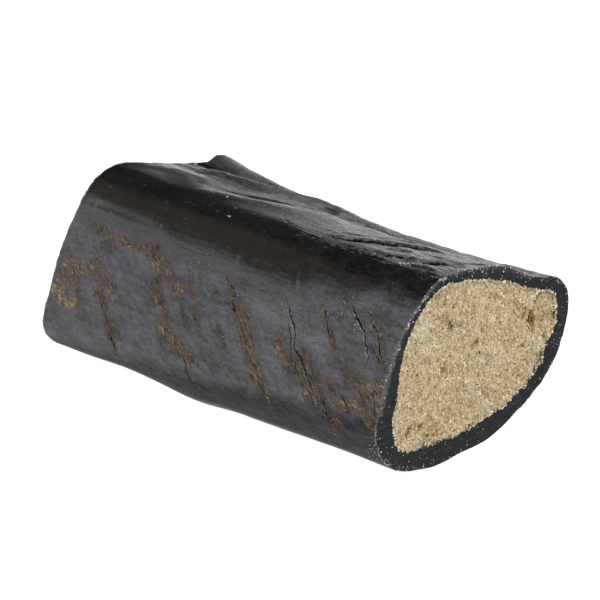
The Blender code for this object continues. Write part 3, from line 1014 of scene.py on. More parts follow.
@dataclass(frozen=True)
class KeratinSkin:
    """The horn's outer skin: satin grey-black flank, polished top, and brown fibre where it has peeled."""

    flank: Colour = (0.066, 0.065, 0.076)
    flank_warm: Colour = (0.062, 0.060, 0.066)
    top: Colour = (0.011, 0.010, 0.0095)
    # The two scuff colours are scuffed keratin that also paints sheen on the top.
    scuff_sheen: Colour = (0.080, 0.078, 0.084)
    scuff_sheen_low: Colour = (0.022, 0.021, 0.022)
    lip: Colour = (0.19, 0.175, 0.16)
    brink: Colour = (0.115, 0.115, 0.12)
    # Pale rubbing with a painted highlight on the crests.
    rubbed_highlight: Colour = (0.20, 0.175, 0.14)
    # A painted sheen colour.
    worn: Colour = (0.20, 0.195, 0.20)
    stain: Colour = (0.075, 0.053, 0.040)
    gap: Colour = (0.009, 0.0085, 0.0085)
    dark_brown: Colour = (0.050, 0.037, 0.030)
    brown: Colour = (0.089, 0.055, 0.034)
    light_brown: Colour = (0.215, 0.132, 0.071)
    tan: Colour = (0.48, 0.38, 0.25)
    flank_roughness: float = 0.47
    top_roughness: float = 0.21
    scuff_roughness: float = 0.33
    fibre_roughness: float = 0.8
    low_roughness: float = 0.85
    crack_roughness: float = 0.9
    specular: float = 0.3
    crack_half_width: float = 0.16
    bump_height: float = 0.00028

    def crack_mask(self, r: Recipe, name: str) -> Socket:
        """Where one set of cracks is open, from its distances and strengths."""
        uneven = r.between(r.grain((900, 900, 900), 2), 0.35, 0.65, (0.45, 1.1))
        width = r.times(r.times(r.attribute("depth_" + name), self.crack_half_width), uneven)
        away = r.math("ABSOLUTE", r.attribute("crack_" + name))
        open_here = r.between(away, r.times(width, 1.7), r.times(width, 0.6))
        return r.times(open_here, r.math("GREATER_THAN", width, 0.02))

    def lip_mask(self, r: Recipe, name: str) -> Socket:
        """The raised edges beside one set of cracks."""
        width = r.times(r.attribute("depth_" + name), self.crack_half_width)
        away = r.math("ABSOLUTE", r.attribute("crack_" + name))
        beside = r.between(away, r.math("ADD", width, 0.45), r.math("ADD", width, 0.1))
        return r.times(beside, r.between(width, 0.1, 0.2))

    def scuff_sheen_mask(self, r: Recipe, p: SkinPatterns) -> Socket:
        """Where the top has lost its polish and gets painted sheen, in streaks that are calmer towards the
        far end.
        """
        scuff_sheen = r.attribute("scuff_sheen")
        streaky = r.sway(scuff_sheen, (p.wide_lines, 0.5), (p.lines, 0.45), (p.mottle, 0.35))
        calm = r.sway(scuff_sheen, (p.wide_lines, 0.2), (p.mottle, 0.12))
        uneven = r.blend(r.attribute("calm"), streaky, calm)
        return r.times(r.between(uneven, 0.2, 1.0), r.between(scuff_sheen, 0.02, 0.25))

    def bare_mask(self, r: Recipe, p: SkinPatterns) -> Socket:
        """Where the outer layer has come off, with ragged edges."""
        peel = r.attribute("peel")
        ragged = r.sway(peel, (p.fine, 0.75), (p.broad, 0.5), (p.grit, 0.3), (p.mottle, 0.4), (p.lines, 0.25))
        return r.times(r.between(ragged, 0.59, 0.84), r.between(peel, 0.08, 0.3))

    def brink_mask(self, r: Recipe, p: SkinPatterns) -> Socket:
        """Where the skin is chipped pale along the sawn ends."""
        uneven = r.sway(r.attribute("brink"), (p.grit, 0.6), (p.mottle, 0.8), (p.cloud, 0.5))
        return r.between(uneven, 0.65, 1.2)

    def plain_colour(self, r: Recipe, p: SkinPatterns, scuff_sheen_share: Socket) -> Socket:
        """The colour of skin that hasn't peeled: flank, polished top, scuffs with painted sheen, painted
        shade low on the flank and on the top, painted sheen on pale patches, and pale rubbing with a painted
        highlight on the crests.
        """
        calm, painted_shade, crest = (r.attribute(name) for name in ("calm", "painted_shade", "crest"))
        tone = r.sway(1.0, (p.lines, 0.28), (p.wide_lines, 0.25), (p.cloud, 0.45))
        tone = r.sway(tone, (p.mottle, 0.38), (p.grit, 0.35), (p.broad, 0.35))
        tone = r.blend(r.times(calm, 0.65), tone, 1.0)
        # Painted shade: the tone is darker low on the flank and on the top's painted-dark routes.
        tone = r.times(r.times(tone, r.less(r.attribute("low"), 0.62)), r.less(painted_shade, 0.93))
        stained = r.between(r.sway(r.attribute("peel"), (p.cloud, 0.3)), 0.15, 0.85, (0, 0.55))
        colour = r.mix(stained, r.mix(p.cloud, self.flank_warm, self.flank), self.stain)
        colour = r.mix(r.attribute("polish"), colour, self.top)
        wrinkle = r.blend(calm, r.sway(p.wrinkle, (p.lines, 0.5)), 0.75)
        # Scuffs of the top, partly painted sheen.
        colour = r.mix(scuff_sheen_share, colour, r.mix(wrinkle, self.scuff_sheen_low, self.scuff_sheen))
        colour = r.mix(1.0, colour, tone, "MULTIPLY")
        # Painted sheen: pale patches of the top and the flank.
        uneven = r.sway(1.0, (p.mottle, 0.6), (p.wide_lines, 0.6), (p.lines, 0.5))
        worn = r.times(r.attribute("worn"), r.times(uneven, r.less(painted_shade, 1)))
        colour = r.mix(worn, colour, self.worn)
        # Crests of the top: pale rubbing with a painted highlight.
        rubbed_highlight = r.between(r.sway(crest, (p.mottle, 0.3), (p.lines, 0.25)), 0.3, 1.0)
        return r.mix(r.times(rubbed_highlight, r.between(crest, 0.05, 0.4)), colour, self.rubbed_highlight)

    def fibre_colour(self, r: Recipe, p: SkinPatterns) -> Socket:
        """The colour of bare fibre, brown or tan, with dark gaps between its strands."""
        brown = r.ramp(p.strand, (0.38, self.dark_brown), (0.52, self.brown), (0.64, self.light_brown))
        brown = r.mix(p.gaps, brown, self.gap)
        pale = r.ramp(p.strand, (0.34, self.brown), (0.44, self.light_brown), (0.56, self.tan))
        pale = r.mix(r.times(p.gaps, 0.6), pale, self.dark_brown)
        return r.mix(r.attribute("tan"), brown, pale)

    def dress(self, effects: SharedEffects) -> bpy.types.Material:
        """The finished material."""
        material, r, shader = new_material("keratin_skin")
        p = SkinPatterns.draw(r, effects)
        polish, painted_shade = r.attribute("polish"), r.attribute("painted_shade")
        scuff_sheen_share, bare, brink = self.scuff_sheen_mask(r, p), self.bare_mask(r, p), self.brink_mask(r, p)
        crack, lips = (r.most(mask(r, "a"), mask(r, "b")) for mask in (self.crack_mask, self.lip_mask))

        fibre_share = r.times(bare, r.plus(0.7, p.cloud, 0.3))
        colour = r.mix(fibre_share, self.plain_colour(r, p, scuff_sheen_share), self.fibre_colour(r, p))
        ragged = r.between(r.sway(p.fine, (p.grit, 0.5)), 0.35, 0.9)
        lip_share = r.times(r.times(lips, r.less(polish, 0.85)), ragged)
        colour = r.mix(lip_share, colour, self.lip)
        colour = r.mix(crack, r.mix(brink, colour, self.brink), self.gap)
        r.put(shader.inputs["Base Color"], colour)
        shader.inputs["Specular IOR Level"].default_value = self.specular

        rough = r.blend(polish, self.flank_roughness, self.top_roughness)
        rough = r.blend(scuff_sheen_share, rough, self.scuff_roughness)
        rough = r.sway(rough, (p.cloud, 0.07), (p.mottle, 0.08), (p.lines, 0.06), (p.broad, 0.05))
        rough = r.blend(r.attribute("low"), rough, self.low_roughness)
        rough = r.blend(r.most(bare, brink), rough, self.fibre_roughness)
        # The top's painted shade is also made rough and half metallic over its dark colour, so it loses its
        # reflection.
        rough = r.most(rough, r.times(r.most(crack, painted_shade), self.crack_roughness))
        r.put(shader.inputs["Roughness"], rough)
        r.put(shader.inputs["Metallic"], r.most(crack, r.times(painted_shade, 0.5)))

        matte = r.math("SUBTRACT", 1, r.times(polish, r.less(scuff_sheen_share, 0.8)))
        height = r.times(r.sway(r.times(p.lines, 0.35), (p.mottle, 0.3), (p.grit, 0.25)), matte)
        strands = r.times(r.math("SUBTRACT", p.strand, r.times(p.gaps, 0.4)), bare)
        height = r.plus(r.plus(r.plus(height, strands, 1.9), bare, -0.6), crack, -1.2)
        r.put(shader.inputs["Normal"], r.bump(height, self.bump_height))
        return material


@dataclass(frozen=True)
class SawnKeratin:
    """The sawn rims: matte and dark, with fine saw marks and caught crumb."""

    base: Colour = (0.010, 0.0105, 0.012)
    mark: Colour = (0.034, 0.035, 0.039)
    dust: Colour = (0.10, 0.10, 0.105)
    chip: Colour = (0.12, 0.12, 0.125)
    roughness: float = 0.8
    specular: float = 0.18
    bump_height: float = 0.0003

    def dress(self) -> bpy.types.Material:
        """The finished material."""
        material, r, shader = new_material("sawn_keratin")
        grit = r.grain((2200, 2200, 2200), 3, 0.65)
        cloud = r.grain((180, 180, 180), 3)
        marks = r.grain((300, 260, 2400), 2)
        colour = r.mix(r.between(marks, 0.5, 0.75), self.base, self.mark)
        colour = r.mix(1.0, colour, r.plus(0.55, cloud, 0.9), "MULTIPLY")
        colour = r.mix(r.between(r.sway(r.attribute("edge"), (grit, 1.2)), 0.65, 1.1), colour, self.dust)
        colour = r.mix(r.between(r.sway(r.attribute("brink"), (grit, 1.2)), 0.8, 1.3), colour, self.chip)
        r.put(shader.inputs["Base Color"], colour)
        shader.inputs["Specular IOR Level"].default_value = self.specular
        r.put(shader.inputs["Roughness"], r.plus(self.roughness - 0.1, grit, 0.2))
        height = r.math("ADD", r.times(marks, 0.6), r.times(grit, 0.8))
        r.put(shader.inputs["Normal"], r.bump(height, self.bump_height))
        return material


@dataclass(frozen=True)
class BoreKeratin:
    """The bore's wall, which the filling hides."""

    base: Colour = (0.05, 0.042, 0.032)
    line: Colour = (0.12, 0.1, 0.075)
    roughness: float = 0.8
    bump_height: float = 0.0002

    def dress(self, effects: SharedEffects) -> bpy.types.Material:
        """The finished material."""
        material, r, shader = new_material("bore_keratin")
        lines = r.group(effects.striations, 1.2, 0.1, 5)
        r.put(shader.inputs["Base Color"], r.mix(lines, self.base, self.line))
        shader.inputs["Roughness"].default_value = self.roughness
        r.put(shader.inputs["Normal"], r.bump(lines, self.bump_height))
        return material


@dataclass(frozen=True)
class PressedCrumb:
    """The body of the filling, seen between its crumbs."""

    shadow: Colour = (0.035, 0.026, 0.011)
    # Colours painted into the holes as shade.
    hole_shade_olive: Colour = (0.30, 0.23, 0.10)
    deep: Colour = (0.20, 0.15, 0.06)
    body: Colour = (0.50, 0.39, 0.23)
    pale: Colour = (0.66, 0.56, 0.38)
    roughness: float = 0.95
    specular: float = 0.2
    bump_height: float = 0.0004

    def dress(self) -> bpy.types.Material:
        """The finished material."""
        material, r, shader = new_material("pressed_crumb")
        grain = r.grain((1500, 1500, 1500), 3)
        tone = r.sway(grain, (r.grain((160, 160, 160), 2), 0.35))
        colour = r.ramp(tone, (0.3, self.deep), (0.5, self.body), (0.68, self.pale))
        # Holes are painted darker by their depth, olive and then the shadow colour: painted shade.
        hole = r.attribute("hole")
        colour = r.mix(r.between(hole, 0.2, 0.6), colour, r.mix(grain, self.hole_shade_olive, self.deep))
        r.put(shader.inputs["Base Color"], r.mix(r.between(hole, 0.5, 1.5), colour, self.shadow))
        shader.inputs["Roughness"].default_value = self.roughness
        shader.inputs["Specular IOR Level"].default_value = self.specular
        r.put(shader.inputs["Normal"], r.bump(grain, self.bump_height))
        return material


@dataclass(frozen=True)
class LooseCrumb:
    """Single crumbs, each with its own tint."""

    name: str = "loose_crumb"
    tones: tuple[tuple[float, Colour], ...] = (
        (0.0, (0.07, 0.06, 0.05)),
        (0.02, (0.10, 0.08, 0.07)),
        (0.03, (0.52, 0.24, 0.08)),
        (0.05, (0.48, 0.26, 0.10)),
        # From here down, tints darken crumbs at random and crumbs that lie deep, which is painted shade.
        (0.07, (0.12, 0.09, 0.035)),
        (0.22, (0.40, 0.30, 0.15)),
        (0.5, (0.55, 0.448, 0.29)),
        (1.0, (0.73, 0.665, 0.53)),
    )
    roughness: float = 0.9
    specular: float = 0.25
    bump_height: float = 0.00015

    def dress(self) -> bpy.types.Material:
        """The finished material."""
        material, r, shader = new_material(self.name)
        grain = r.grain((3800, 3800, 3800), 2)
        colour = r.ramp(r.attribute("tint"), *self.tones)
        r.put(shader.inputs["Base Color"], r.mix(1.0, colour, r.plus(0.75, grain, 0.5), "MULTIPLY"))
        shader.inputs["Roughness"].default_value = self.roughness
        shader.inputs["Specular IOR Level"].default_value = self.specular
        r.put(shader.inputs["Normal"], r.bump(grain, self.bump_height))
        return material


CAUGHT_CRUMB = LooseCrumb(
    "caught_crumb", ((0.0, (0.34, 0.29, 0.22)), (0.6, (0.55, 0.52, 0.45)), (1.0, (0.78, 0.77, 0.73)))
)


@dataclass(frozen=True)
class SweptTube:
    """The horn's mesh: a tube of even columns whose rows are then laid on the horn's form."""

    span_columns: tuple[int, ...] = (8, 12, 14, 12, 11, 10, 14, 30, 38, 36, 34, 32, 36, 34, 34, 18)
    first_cuts: int = 15
    second_cuts: int = 14
    rim_rows: int = 8
    bore_cuts: int = 5
    outer: float = 38
    inner: float = 33
    half: float = 57

    @property
    def columns(self) -> int:
        """How many vertices go round."""
        return sum(self.span_columns)

    @property
    def rows(self) -> int:
        """How many faces run along the skin."""
        return (self.first_cuts + 1) * (self.second_cuts + 1)

    def row_numbers(self, share: Array) -> Array:
        """The skin's row that is nearest to each share of the length."""
        return np.clip(np.round(share * self.rows).astype(int), 0, self.rows)

    def places(self) -> Array:
        """Where the columns stand round the outline, counted in outline points."""
        spans = enumerate(self.span_columns)
        return np.concatenate([span + np.arange(count) / count for span, count in spans])

    def build(self, name: str) -> Piece:
        """The tube as a primitive, extruded at both ends, bridged inside and subdivided along the skin."""
        piece = open_tube(name, self.columns, self.outer, 2 * self.half)
        first, second = edge_ends(piece)
        select_edges(piece, np.abs(first[:, 0] - second[:, 0]) < MM / 10)
        rows = range(self.rim_rows + 1)
        radii = [self.outer + (self.inner - self.outer) * row / self.rim_rows for row in rows]
        for before, now in zip(radii, radii[1:]):
            bpy.ops.mesh.extrude_region()
            bpy.ops.transform.resize(value=(1, now / before, now / before), center_override=(0, 0, 0))
        bpy.ops.mesh.bridge_edge_loops(number_cuts=self.bore_cuts, interpolation="LINEAR")
        for cuts in (self.first_cuts, self.second_cuts):
            first, second = edge_ends(piece)
            runs_along = np.abs(first[:, 0] - second[:, 0]) > MM / 10
            radius = np.minimum(np.hypot(*first[:, 1:].T), np.hypot(*second[:, 1:].T))
            select_edges(piece, runs_along & (radius > (self.outer - 0.1) * MM))
            bpy.ops.mesh.subdivide(number_cuts=cuts)
        turn_faces_out()
        return piece

    def indices(self, piece: Piece) -> tuple[Array, Array, Array]:
        """Where every vertex stands on the tube.

        Args:
            piece: the tube, before it is laid on the form.

        Returns:
            The column, the share of the length from 0 to 1, and the share of the wall, which is 0 outside
            and 1 inside.
        """
        at = vertex_places(piece) / MM
        radius = np.hypot(at[:, 1], at[:, 2])
        along = (at[:, 0] / self.half + 1) / 2
        return column_numbers(at, self.columns), along, (self.outer - radius) / (self.outer - self.inner)


@dataclass
class Horn:
    """The keratin tube with all that its skin and its sawn ends show."""

    tube: SweptTube = SweptTube()
    chamfer: float = 0.5
    chamfer_rows: int = 2
    saw_depth: float = 0.05
    ring_share: float = 0.4
    steps: Dips = (
        (-18.7, 7.5, 1.1, 0.8), (31.5, 25, -0.7, 4.0), (28, 18.4, 1.1, 1.8), (20, 11.5, -0.5, 1.5),
        (-30.2, 24.5, 0.8, 5.0),
    )
    ragged: Triples = ((0.4, 1.8, 11), (0.22, 0.7, 12))
    striations: tuple[Layer, ...] = (Layer(0.03, 16, 0.9, 14), Layer(0.04, 22, 2.6, 15))
    crumples: tuple[Layer, ...] = (Layer(0.11, 7, 1.8, 19, 2), Layer(0.12, 12, 3.2, 20))
    waves: Layer = Layer(0.08, 9, 6, 17)
    rear_roughness: Layer = Layer(0.14, 2.6, 5, 16, 3)
    fibres: Layer = Layer(0.16, 0.8, 3, 3, 2)
    polish_wander: Layer = Layer(1.2, 9, 9, 18)
    low_shade_wander: Layer = Layer(0.8, 12, 4, 46)
    peel_depth: float = 0.16
    shoulder_line_depth: float = 0.08
    crack_cut: float = 0.32
    deepest_crack: float = 3
    skin: Array = field(init=False)
    depths: Array = field(init=False)

    def build(self) -> Piece:
        """The finished mesh, with its vertex values."""
        piece = self.tube.build("horn_skin")
        column, along, self.depths = self.tube.indices(piece)
        values = self.lay_skin()
        row = self.tube.row_numbers(along)
        step = self.depths * self.tube.rim_rows
        result = self.skin[row, column]
        in_bore = (self.depths > 0.99) & (along > 0.01) & (along < 0.99)
        on_skin = self.depths < 0.01
        for end in End:
            on_rim = ~on_skin & ~in_bore & (np.round(along) == (end is End.NEAR))
            result[on_rim] = self.rim_places(end, column[on_rim], step[on_rim])
        result[in_bore] = self.bore_places(along[in_bore], column[in_bore])
        move_vertices(piece, result)
        for name, grid in values.items():
            inside = grid[row, column] * (step <= self.chamfer_rows) if name == "brink" else 0
            add_attribute(piece, name, np.where(on_skin, grid[row, column], inside))
        add_attribute(piece, "edge", self.edge_dust(self.tube.places()[column], step))
        piece.data.shade_smooth()
        return piece

    def lay_skin(self) -> dict[str, Array]:
        """Lays the skin by its form and its fine relief, and returns the values that its finish reads."""
        x = np.linspace(-FORM.half + self.chamfer, FORM.half - self.chamfer, self.tube.rows + 1)
        places = self.tube.places()
        plain = FORM.plain_skin(x, places)
        at = Spots(np.broadcast_to(x[:, None], plain.shape[:-1]), plain[..., 0], plain[..., 1])
        height = FORM.relief(x, places, plain, self.ring_shares(at))
        detail, values = self.detail(at)
        shaped = plain + outward(plain) * (height + detail)[..., None]
        shaped[..., 1] = np.maximum(shaped[..., 1], 0)
        self.skin = in_frame(x[:, None], shaped)
        return values

    def bore_places(self, along: Array, column: Array) -> Array:
        """Places of the bore's vertices, from their shares of the length and their columns."""
        levels, level = np.unique(np.round(along, 4), return_inverse=True)
        x = (levels - 0.5) * FORM.length
        return in_frame(x[:, None], FORM.bore(x, self.tube.places()))[level, column]

    def edge_dust(self, place: Array, step: Array) -> Array:
        """How dusty a rim is, from 0 to 1: most at its outer edge, and wider on the top and the front."""
        on_top, on_front = (place > 7) & (place <= 11.5), (place > 11.5) & (place < 13.4)
        dusty = np.select([on_top, on_front], [1.08 - step / 9, 1.35 - step / 5.5], 1.2 - step / 4)
        return np.clip(dusty, 0, 1) * np.where(on_top | on_front | (place < 6), 1, 0.6)

    def inner_edge(self, end: End) -> Array:
        """The bore's ragged outline on a sawn face."""
        places = self.tube.places()
        outline = FORM.bore(np.array([end.value * FORM.half]), places)[0]
        y, z = outline[:, 0], outline[:, 1]
        rear = smooth_step(places, 0.5, 2) * smooth_step(7 - places, 0, 1.5)
        slice_at = 10.0 * end.value
        broken = lattice_noise(y / 4, z / 4, slice_at, 13)
        ragged = face_noise(y, z, slice_at, self.ragged) + 0.4 * np.sign(broken) * np.sqrt(np.abs(broken))
        ragged = ragged * (0.4 + 0.6 * rear)
        for step_y, step_z, inward, reach in self.steps:
            away = np.hypot(y - end.value * step_y, z - step_z)
            ragged = ragged + inward * np.exp(-((away / reach) ** 4))
        return outline - outward(outline) * ragged[:, None]

    def rim_places(self, end: End, column: Array, step: Array) -> Array:
        """Places on a rim, once the skin is laid.

        Args:
            end: which sawn end.
            column: the column of each place.
            step: how many rows each place lies in from the skin.

        Returns:
            Row-frame places in metres.
        """
        edge = self.skin[end.row][:, 1:] / MM - (SECTION_SHIFT, 0)
        uneven = lattice_noise(edge[:, 0] / 1.6, edge[:, 1] / 1.6, 5.0 * end.value, 21)
        chips = np.clip(0.5 + uneven, 0.1, 1.3)
        share = np.clip((step - self.chamfer_rows) / (self.tube.rim_rows - self.chamfer_rows), 0, 1)[:, None]
        turn = np.clip(step / self.chamfer_rows, 0, 1) * math.pi / 2
        sunk = self.chamfer * chips[column] * (1 - np.cos(turn))
        rounded = edge[column] - outward(edge)[column] * sunk[:, None]
        section = rounded + (self.inner_edge(end)[column] - rounded) * share
        marks = lattice_noise(section[:, 0] / 4, section[:, 1] / 0.6, 3.0 * end.value, 22)
        marks = marks * np.minimum(step / 3, 1)
        x = FORM.half - self.chamfer * (1 - np.sin(turn)) + self.saw_depth * marks - self.saw_depth
        return in_frame(end.value * np.minimum(x, FORM.half), section)

    def ring_shares(self, at: Spots) -> Array:
        """How much of the growth rings shows: a band of the flank, and the rear."""
        band = at.above(8, 20) * (1 - at.above(31, 37))
        return self.ring_share * np.maximum(band, smooth_step(at.y, 10, 25))

    def ledges(self, wander: Array, at: Spots) -> Array:
        """Height of the broken layer edges at the growth rings."""
        height = np.zeros(at.z.shape)
        for start in FORM.ring_places:
            past = wander - start
            strength = np.clip(0.35 + 0.8 * lattice_noise(at.y / 9, at.z / 9, float(start), 4), 0, 1)
            layer = 0.1 * np.exp(-np.maximum(past, 0) / 2.2) * (past > 0)
            height += strength * (layer - 0.1 * np.exp(-((past / 0.5) ** 2)))
        return height

    def detail(self, at: Spots) -> tuple[Array, dict[str, Array]]:
        """Fine relief of the skin, and the values that its finish reads.

        Args:
            at: places on the plain outlines.

        Returns:
            Heights over the form's own relief, and the vertex values by name.
        """
        x, y, z = at.x, at.y, at.z
        wander = FORM.ring_place(x, z) + 1.1 * lattice_noise(y / 7, z / 7, x / 20, 1)
        wander = wander + 0.35 * lattice_noise(y / 2, z / 2, x / 6, 2)
        rings = Spots(wander, y, z)
        above_floor = at.above(0.5, 5)
        flank = at.on_front * smooth_step(47 - z, 0, 6)
        rear = smooth_step(y, 8, 14) * above_floor
        lobe = smooth_step(y, 21, 27) * at.above(30, 35)
        line = near_route(x, z, WEAR_AND_PAINTED_LIGHT.shoulder_line, 0.4) * at.on_front
        bare, pale = WEAR_AND_PAINTED_LIGHT.peeled(at)
        scuff_sheen = WEAR_AND_PAINTED_LIGHT.scuff_sheen_share(at)
        cracks = WEAR_AND_PAINTED_LIGHT.cracked(at)

        height = self.ledges(wander, at) * (0.4 * rear + flank)
        height += stacked(self.striations, at) * (0.35 + 0.65 * np.maximum(flank, rear))
        height += self.waves.read(at)
        height += self.rear_roughness.read(rings) * np.maximum(rear, lobe) - self.shoulder_line_depth * line
        height += stacked(self.crumples, at) * (0.35 + 1.5 * smooth_step(x, -5, 30)) * scuff_sheen
        height += bare * (self.fibres.read(rings) - self.peel_depth)
        height -= sum(fold.sunk(x, y) for fold in SKIN_FOLDS) * at.above(31, 36)
        height += WEAR_AND_PAINTED_LIGHT.lifted(at)
        for side, strength in cracks:
            cut = self.crack_cut * np.minimum(strength, self.deepest_crack)
            height -= cut * np.exp(-((side / (0.25 + 0.1 * strength)) ** 2))
        from_end = FORM.half - np.abs(x)

        bound = z - 5 * smooth_step(x, 18, 50) + self.polish_wander.read(at)
        rear_polish = 0.5 * smooth_step(y, 10, 30) * (1 - lobe) * at.above(10, 30) * (1 - at.above(36, 42))
        values = {
            "peel": np.maximum(bare, 0.3 * line),
            "tan": pale,
            "polish": np.maximum(smooth_step(bound, 36.5, 44) * (1 - 0.6 * lobe), rear_polish),
            # Scuffs of the top, partly painted sheen.
            "scuff_sheen": scuff_sheen,
            # Crests of the top: pale rubbing with a painted highlight.
            "crest": WEAR_AND_PAINTED_LIGHT.crest_highlight_share(at),
            # Painted shade on the top.
            "painted_shade": WEAR_AND_PAINTED_LIGHT.painted_shade_share(at),
            # Painted sheen on the top and the flank.
            "worn": WEAR_AND_PAINTED_LIGHT.worn(at),
            # Painted shade low on the flank.
            "low": self.low_shade_band(at),
            "calm": smooth_step(-x, -22, 2) * at.above(36, 42),
            "brink": smooth_step(1 - from_end, 0, 0.5) * (0.25 + 0.75 * flank),
        }
        for name, (side, strength) in zip("ab", cracks):
            values |= {"crack_" + name: side, "depth_" + name: strength}
        return height * above_floor * smooth_step(from_end, 0, 2), values

    def low_shade_band(self, at: Spots) -> Array:
        """Painted shade: a darker band low on the flank, which is widest at the near end."""
        height = at.z + self.low_shade_wander.read(at)
        return smooth_step(14 + 0.1 * at.x - height, -3.5, 2.5) * (1 - 0.95 * smooth_step(-at.z, -8, -4))

    def set_finishes(self, piece: Piece) -> None:
        """Gives skin, rims and bore their material slots, by where the tube's faces stand."""
        mesh = piece.data
        corners = np.empty(len(mesh.loops), np.int32)
        mesh.loops.foreach_get("vertex_index", corners)
        depth = self.depths[corners.reshape(-1, 4)].mean(axis=1)
        slots = np.full(len(depth), Finish.RIM.value)
        slots[depth < 1.2 / self.tube.rim_rows] = Finish.SKIN.value
        slots[depth > 0.999] = Finish.BORE.value
        mesh.polygons.foreach_set("material_index", slots.astype(np.int32))

    def dress(self, piece: Piece, effects: SharedEffects) -> None:
        """Gives the piece its finishes and its place in the frame."""
        piece.data.materials.clear()
        for material in (KeratinSkin().dress(effects), SawnKeratin().dress(), BoreKeratin().dress(effects)):
            piece.data.materials.append(material)
        self.set_finishes(piece)
        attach(piece, "root")
        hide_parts("horn")


@dataclass(frozen=True)
class Filling:
    """The pale crumb packed in the bore: a body with uneven faces, and loose crumbs on them."""

    horn: Horn
    columns: int = 480
    side_cuts: int = 7
    start_radius: float = 30
    recess: float = 0.5
    body_sink: float = 0.12
    edge_crumbs: int = 900
    face_crumbs: tuple[int, int] = (8800, 6500)
    crumb_sizes: tuple[float, float] = (0.12, 0.25)
    big_share: float = 0.2
    big_gain: float = 0.7
    hole_crumb_size: float = 0.04
    odd_share: float = 0.024
    odd_size: float = 0.24
    odd_tints: tuple[float, float] = (0, 0.055)
    least_tint: float = 0.07
    middle_tint: float = 0.58
    tint_spread: float = 0.11
    tint_clumps: Triples = ((0.34, 0.9, 34), (0.14, 2.4, 35))
    # How much darker a crumb's tint gets with depth: painted shade.
    recess_shade_tint: float = 0.34
    lumps: Triples = ((0.3, 3.2, 31), (0.38, 1.5, 32), (0.34, 0.8, 33))
    pits: Dips = (
        (28, 25, 2.2, 2.2), (26.5, 29.5, 1.2, 1.8), (-15, 9.5, 1.4, 2.0), (-6, 17, 0.8, 3.0),
        (-23, 12, 1.0, 2.4), (15, 33, 0.5, 3.0), (6, 25, -0.3, 8.0), (-18, 35, -0.3, 7.0),
    )
    small_pits: Dips = (
        (25, 31.1, 3.0, 0.85), (23.2, 28.2, 3.4, 1.0), (20.4, 29.4, 2.2, 0.7), (24.4, 25.2, 2.6, 0.85),
        (0.8, 27.9, 2.4, 0.5), (-23.5, 12.4, 3.0, 0.75), (-19.8, 12.6, 1.7, 0.5),
        (-10.7, 14.4, 1.7, 0.5), (-11.9, 25.1, 1.2, 1.2), (-9.3, 23.4, 0.8, 0.8), (28.3, 20.5, 0.9, 1.0),
        (26.5, 33, 1.0, 0.9), (18.6, 31.6, 0.9, 0.7),
    )

    def face_depth(self, y: Array, z: Array, end: End) -> Array:
        """How far a face of the filling lies below its rim."""
        depth = face_noise(y, z, 7.0 * end.value, self.lumps, self.recess)
        for pit_y, pit_z, deep, reach in self.pits:
            away = np.hypot(y - end.value * pit_y, z - pit_z)
            depth = depth + deep * np.exp(-((away / reach) ** 2))
        return np.maximum(depth, 0.08) + self.hole_depth(y, z, end)

    def hole_depth(self, y: Array, z: Array, end: End) -> Array:
        """How much deeper the near face is in its small holes, most of which are slots that lean."""
        depth = np.zeros(np.shape(y))
        if end is End.NEAR:
            for hole_y, hole_z, deep, reach in self.small_pits:
                tall = 0.5 if deep > 1.6 else 1
                away = np.hypot(y - hole_y - (1 - tall) * 0.6 * (z - hole_z), tall * (z - hole_z))
                depth = depth + deep * np.exp(-((away / reach) ** 2))
        return depth

    def edge(self, end: End) -> Array:
        """The outline of a face, on the mesh's own columns and just inside the ragged bore."""
        points = len(FORM.near_outline)
        wanted = np.arange(self.columns) / self.columns * points
        places, outline = self.horn.tube.places(), self.horn.inner_edge(end)
        sides = [np.interp(wanted, places, values, period=points) for values in outline.T]
        return np.stack(sides, axis=-1)

    def build(self) -> Piece:
        """The body of the filling."""
        piece = open_tube("filling_body", self.columns, self.start_radius, FORM.length)
        first, second = edge_ends(piece)
        select_edges(piece, np.abs(first[:, 0] - second[:, 0]) > MM)
        bpy.ops.mesh.subdivide(number_cuts=self.side_cuts)
        bpy.ops.object.mode_set(mode="OBJECT")
        self.lay_sides(piece)
        for end in End:
            first, second = edge_ends(piece)
            outermost = np.minimum(end.value * first[:, 0], end.value * second[:, 0])
            select_edges(piece, outermost > (FORM.half - 0.2) * MM)
            bpy.ops.mesh.fill_grid(span=self.columns // 4, offset=0)
        turn_faces_out()
        self.shape_faces(piece)
        piece.data.shade_smooth()
        return piece

    def lay_sides(self, piece: Piece) -> None:
        """Lays the cylinder's rows on the bore, and its two ends on the ragged edges."""
        at = vertex_places(piece) / MM
        levels, level = np.unique(np.round(at[:, 0], 2), return_inverse=True)
        rows = FORM.bore(levels, np.arange(self.columns) / self.columns * len(FORM.near_outline))
        for end in End:
            rows[end.row] = self.edge(end)
        move_vertices(piece, in_frame(levels[level], rows[level, column_numbers(at, self.columns)]))

    def shape_faces(self, piece: Piece) -> None:
        """Sinks both faces below their rims."""
        at = vertex_places(piece) / MM
        holes = np.zeros(len(at))
        for end in End:
            on_face = end.value * at[:, 0] > FORM.half - 0.2
            y, z = at[on_face, 1] - SECTION_SHIFT, at[on_face, 2]
            at[on_face, 0] = end.value * (FORM.half - self.face_depth(y, z, end) - self.body_sink)
            holes[on_face] = self.hole_depth(y, z, end)
        move_vertices(piece, at * MM)
        add_attribute(piece, "hole", holes)

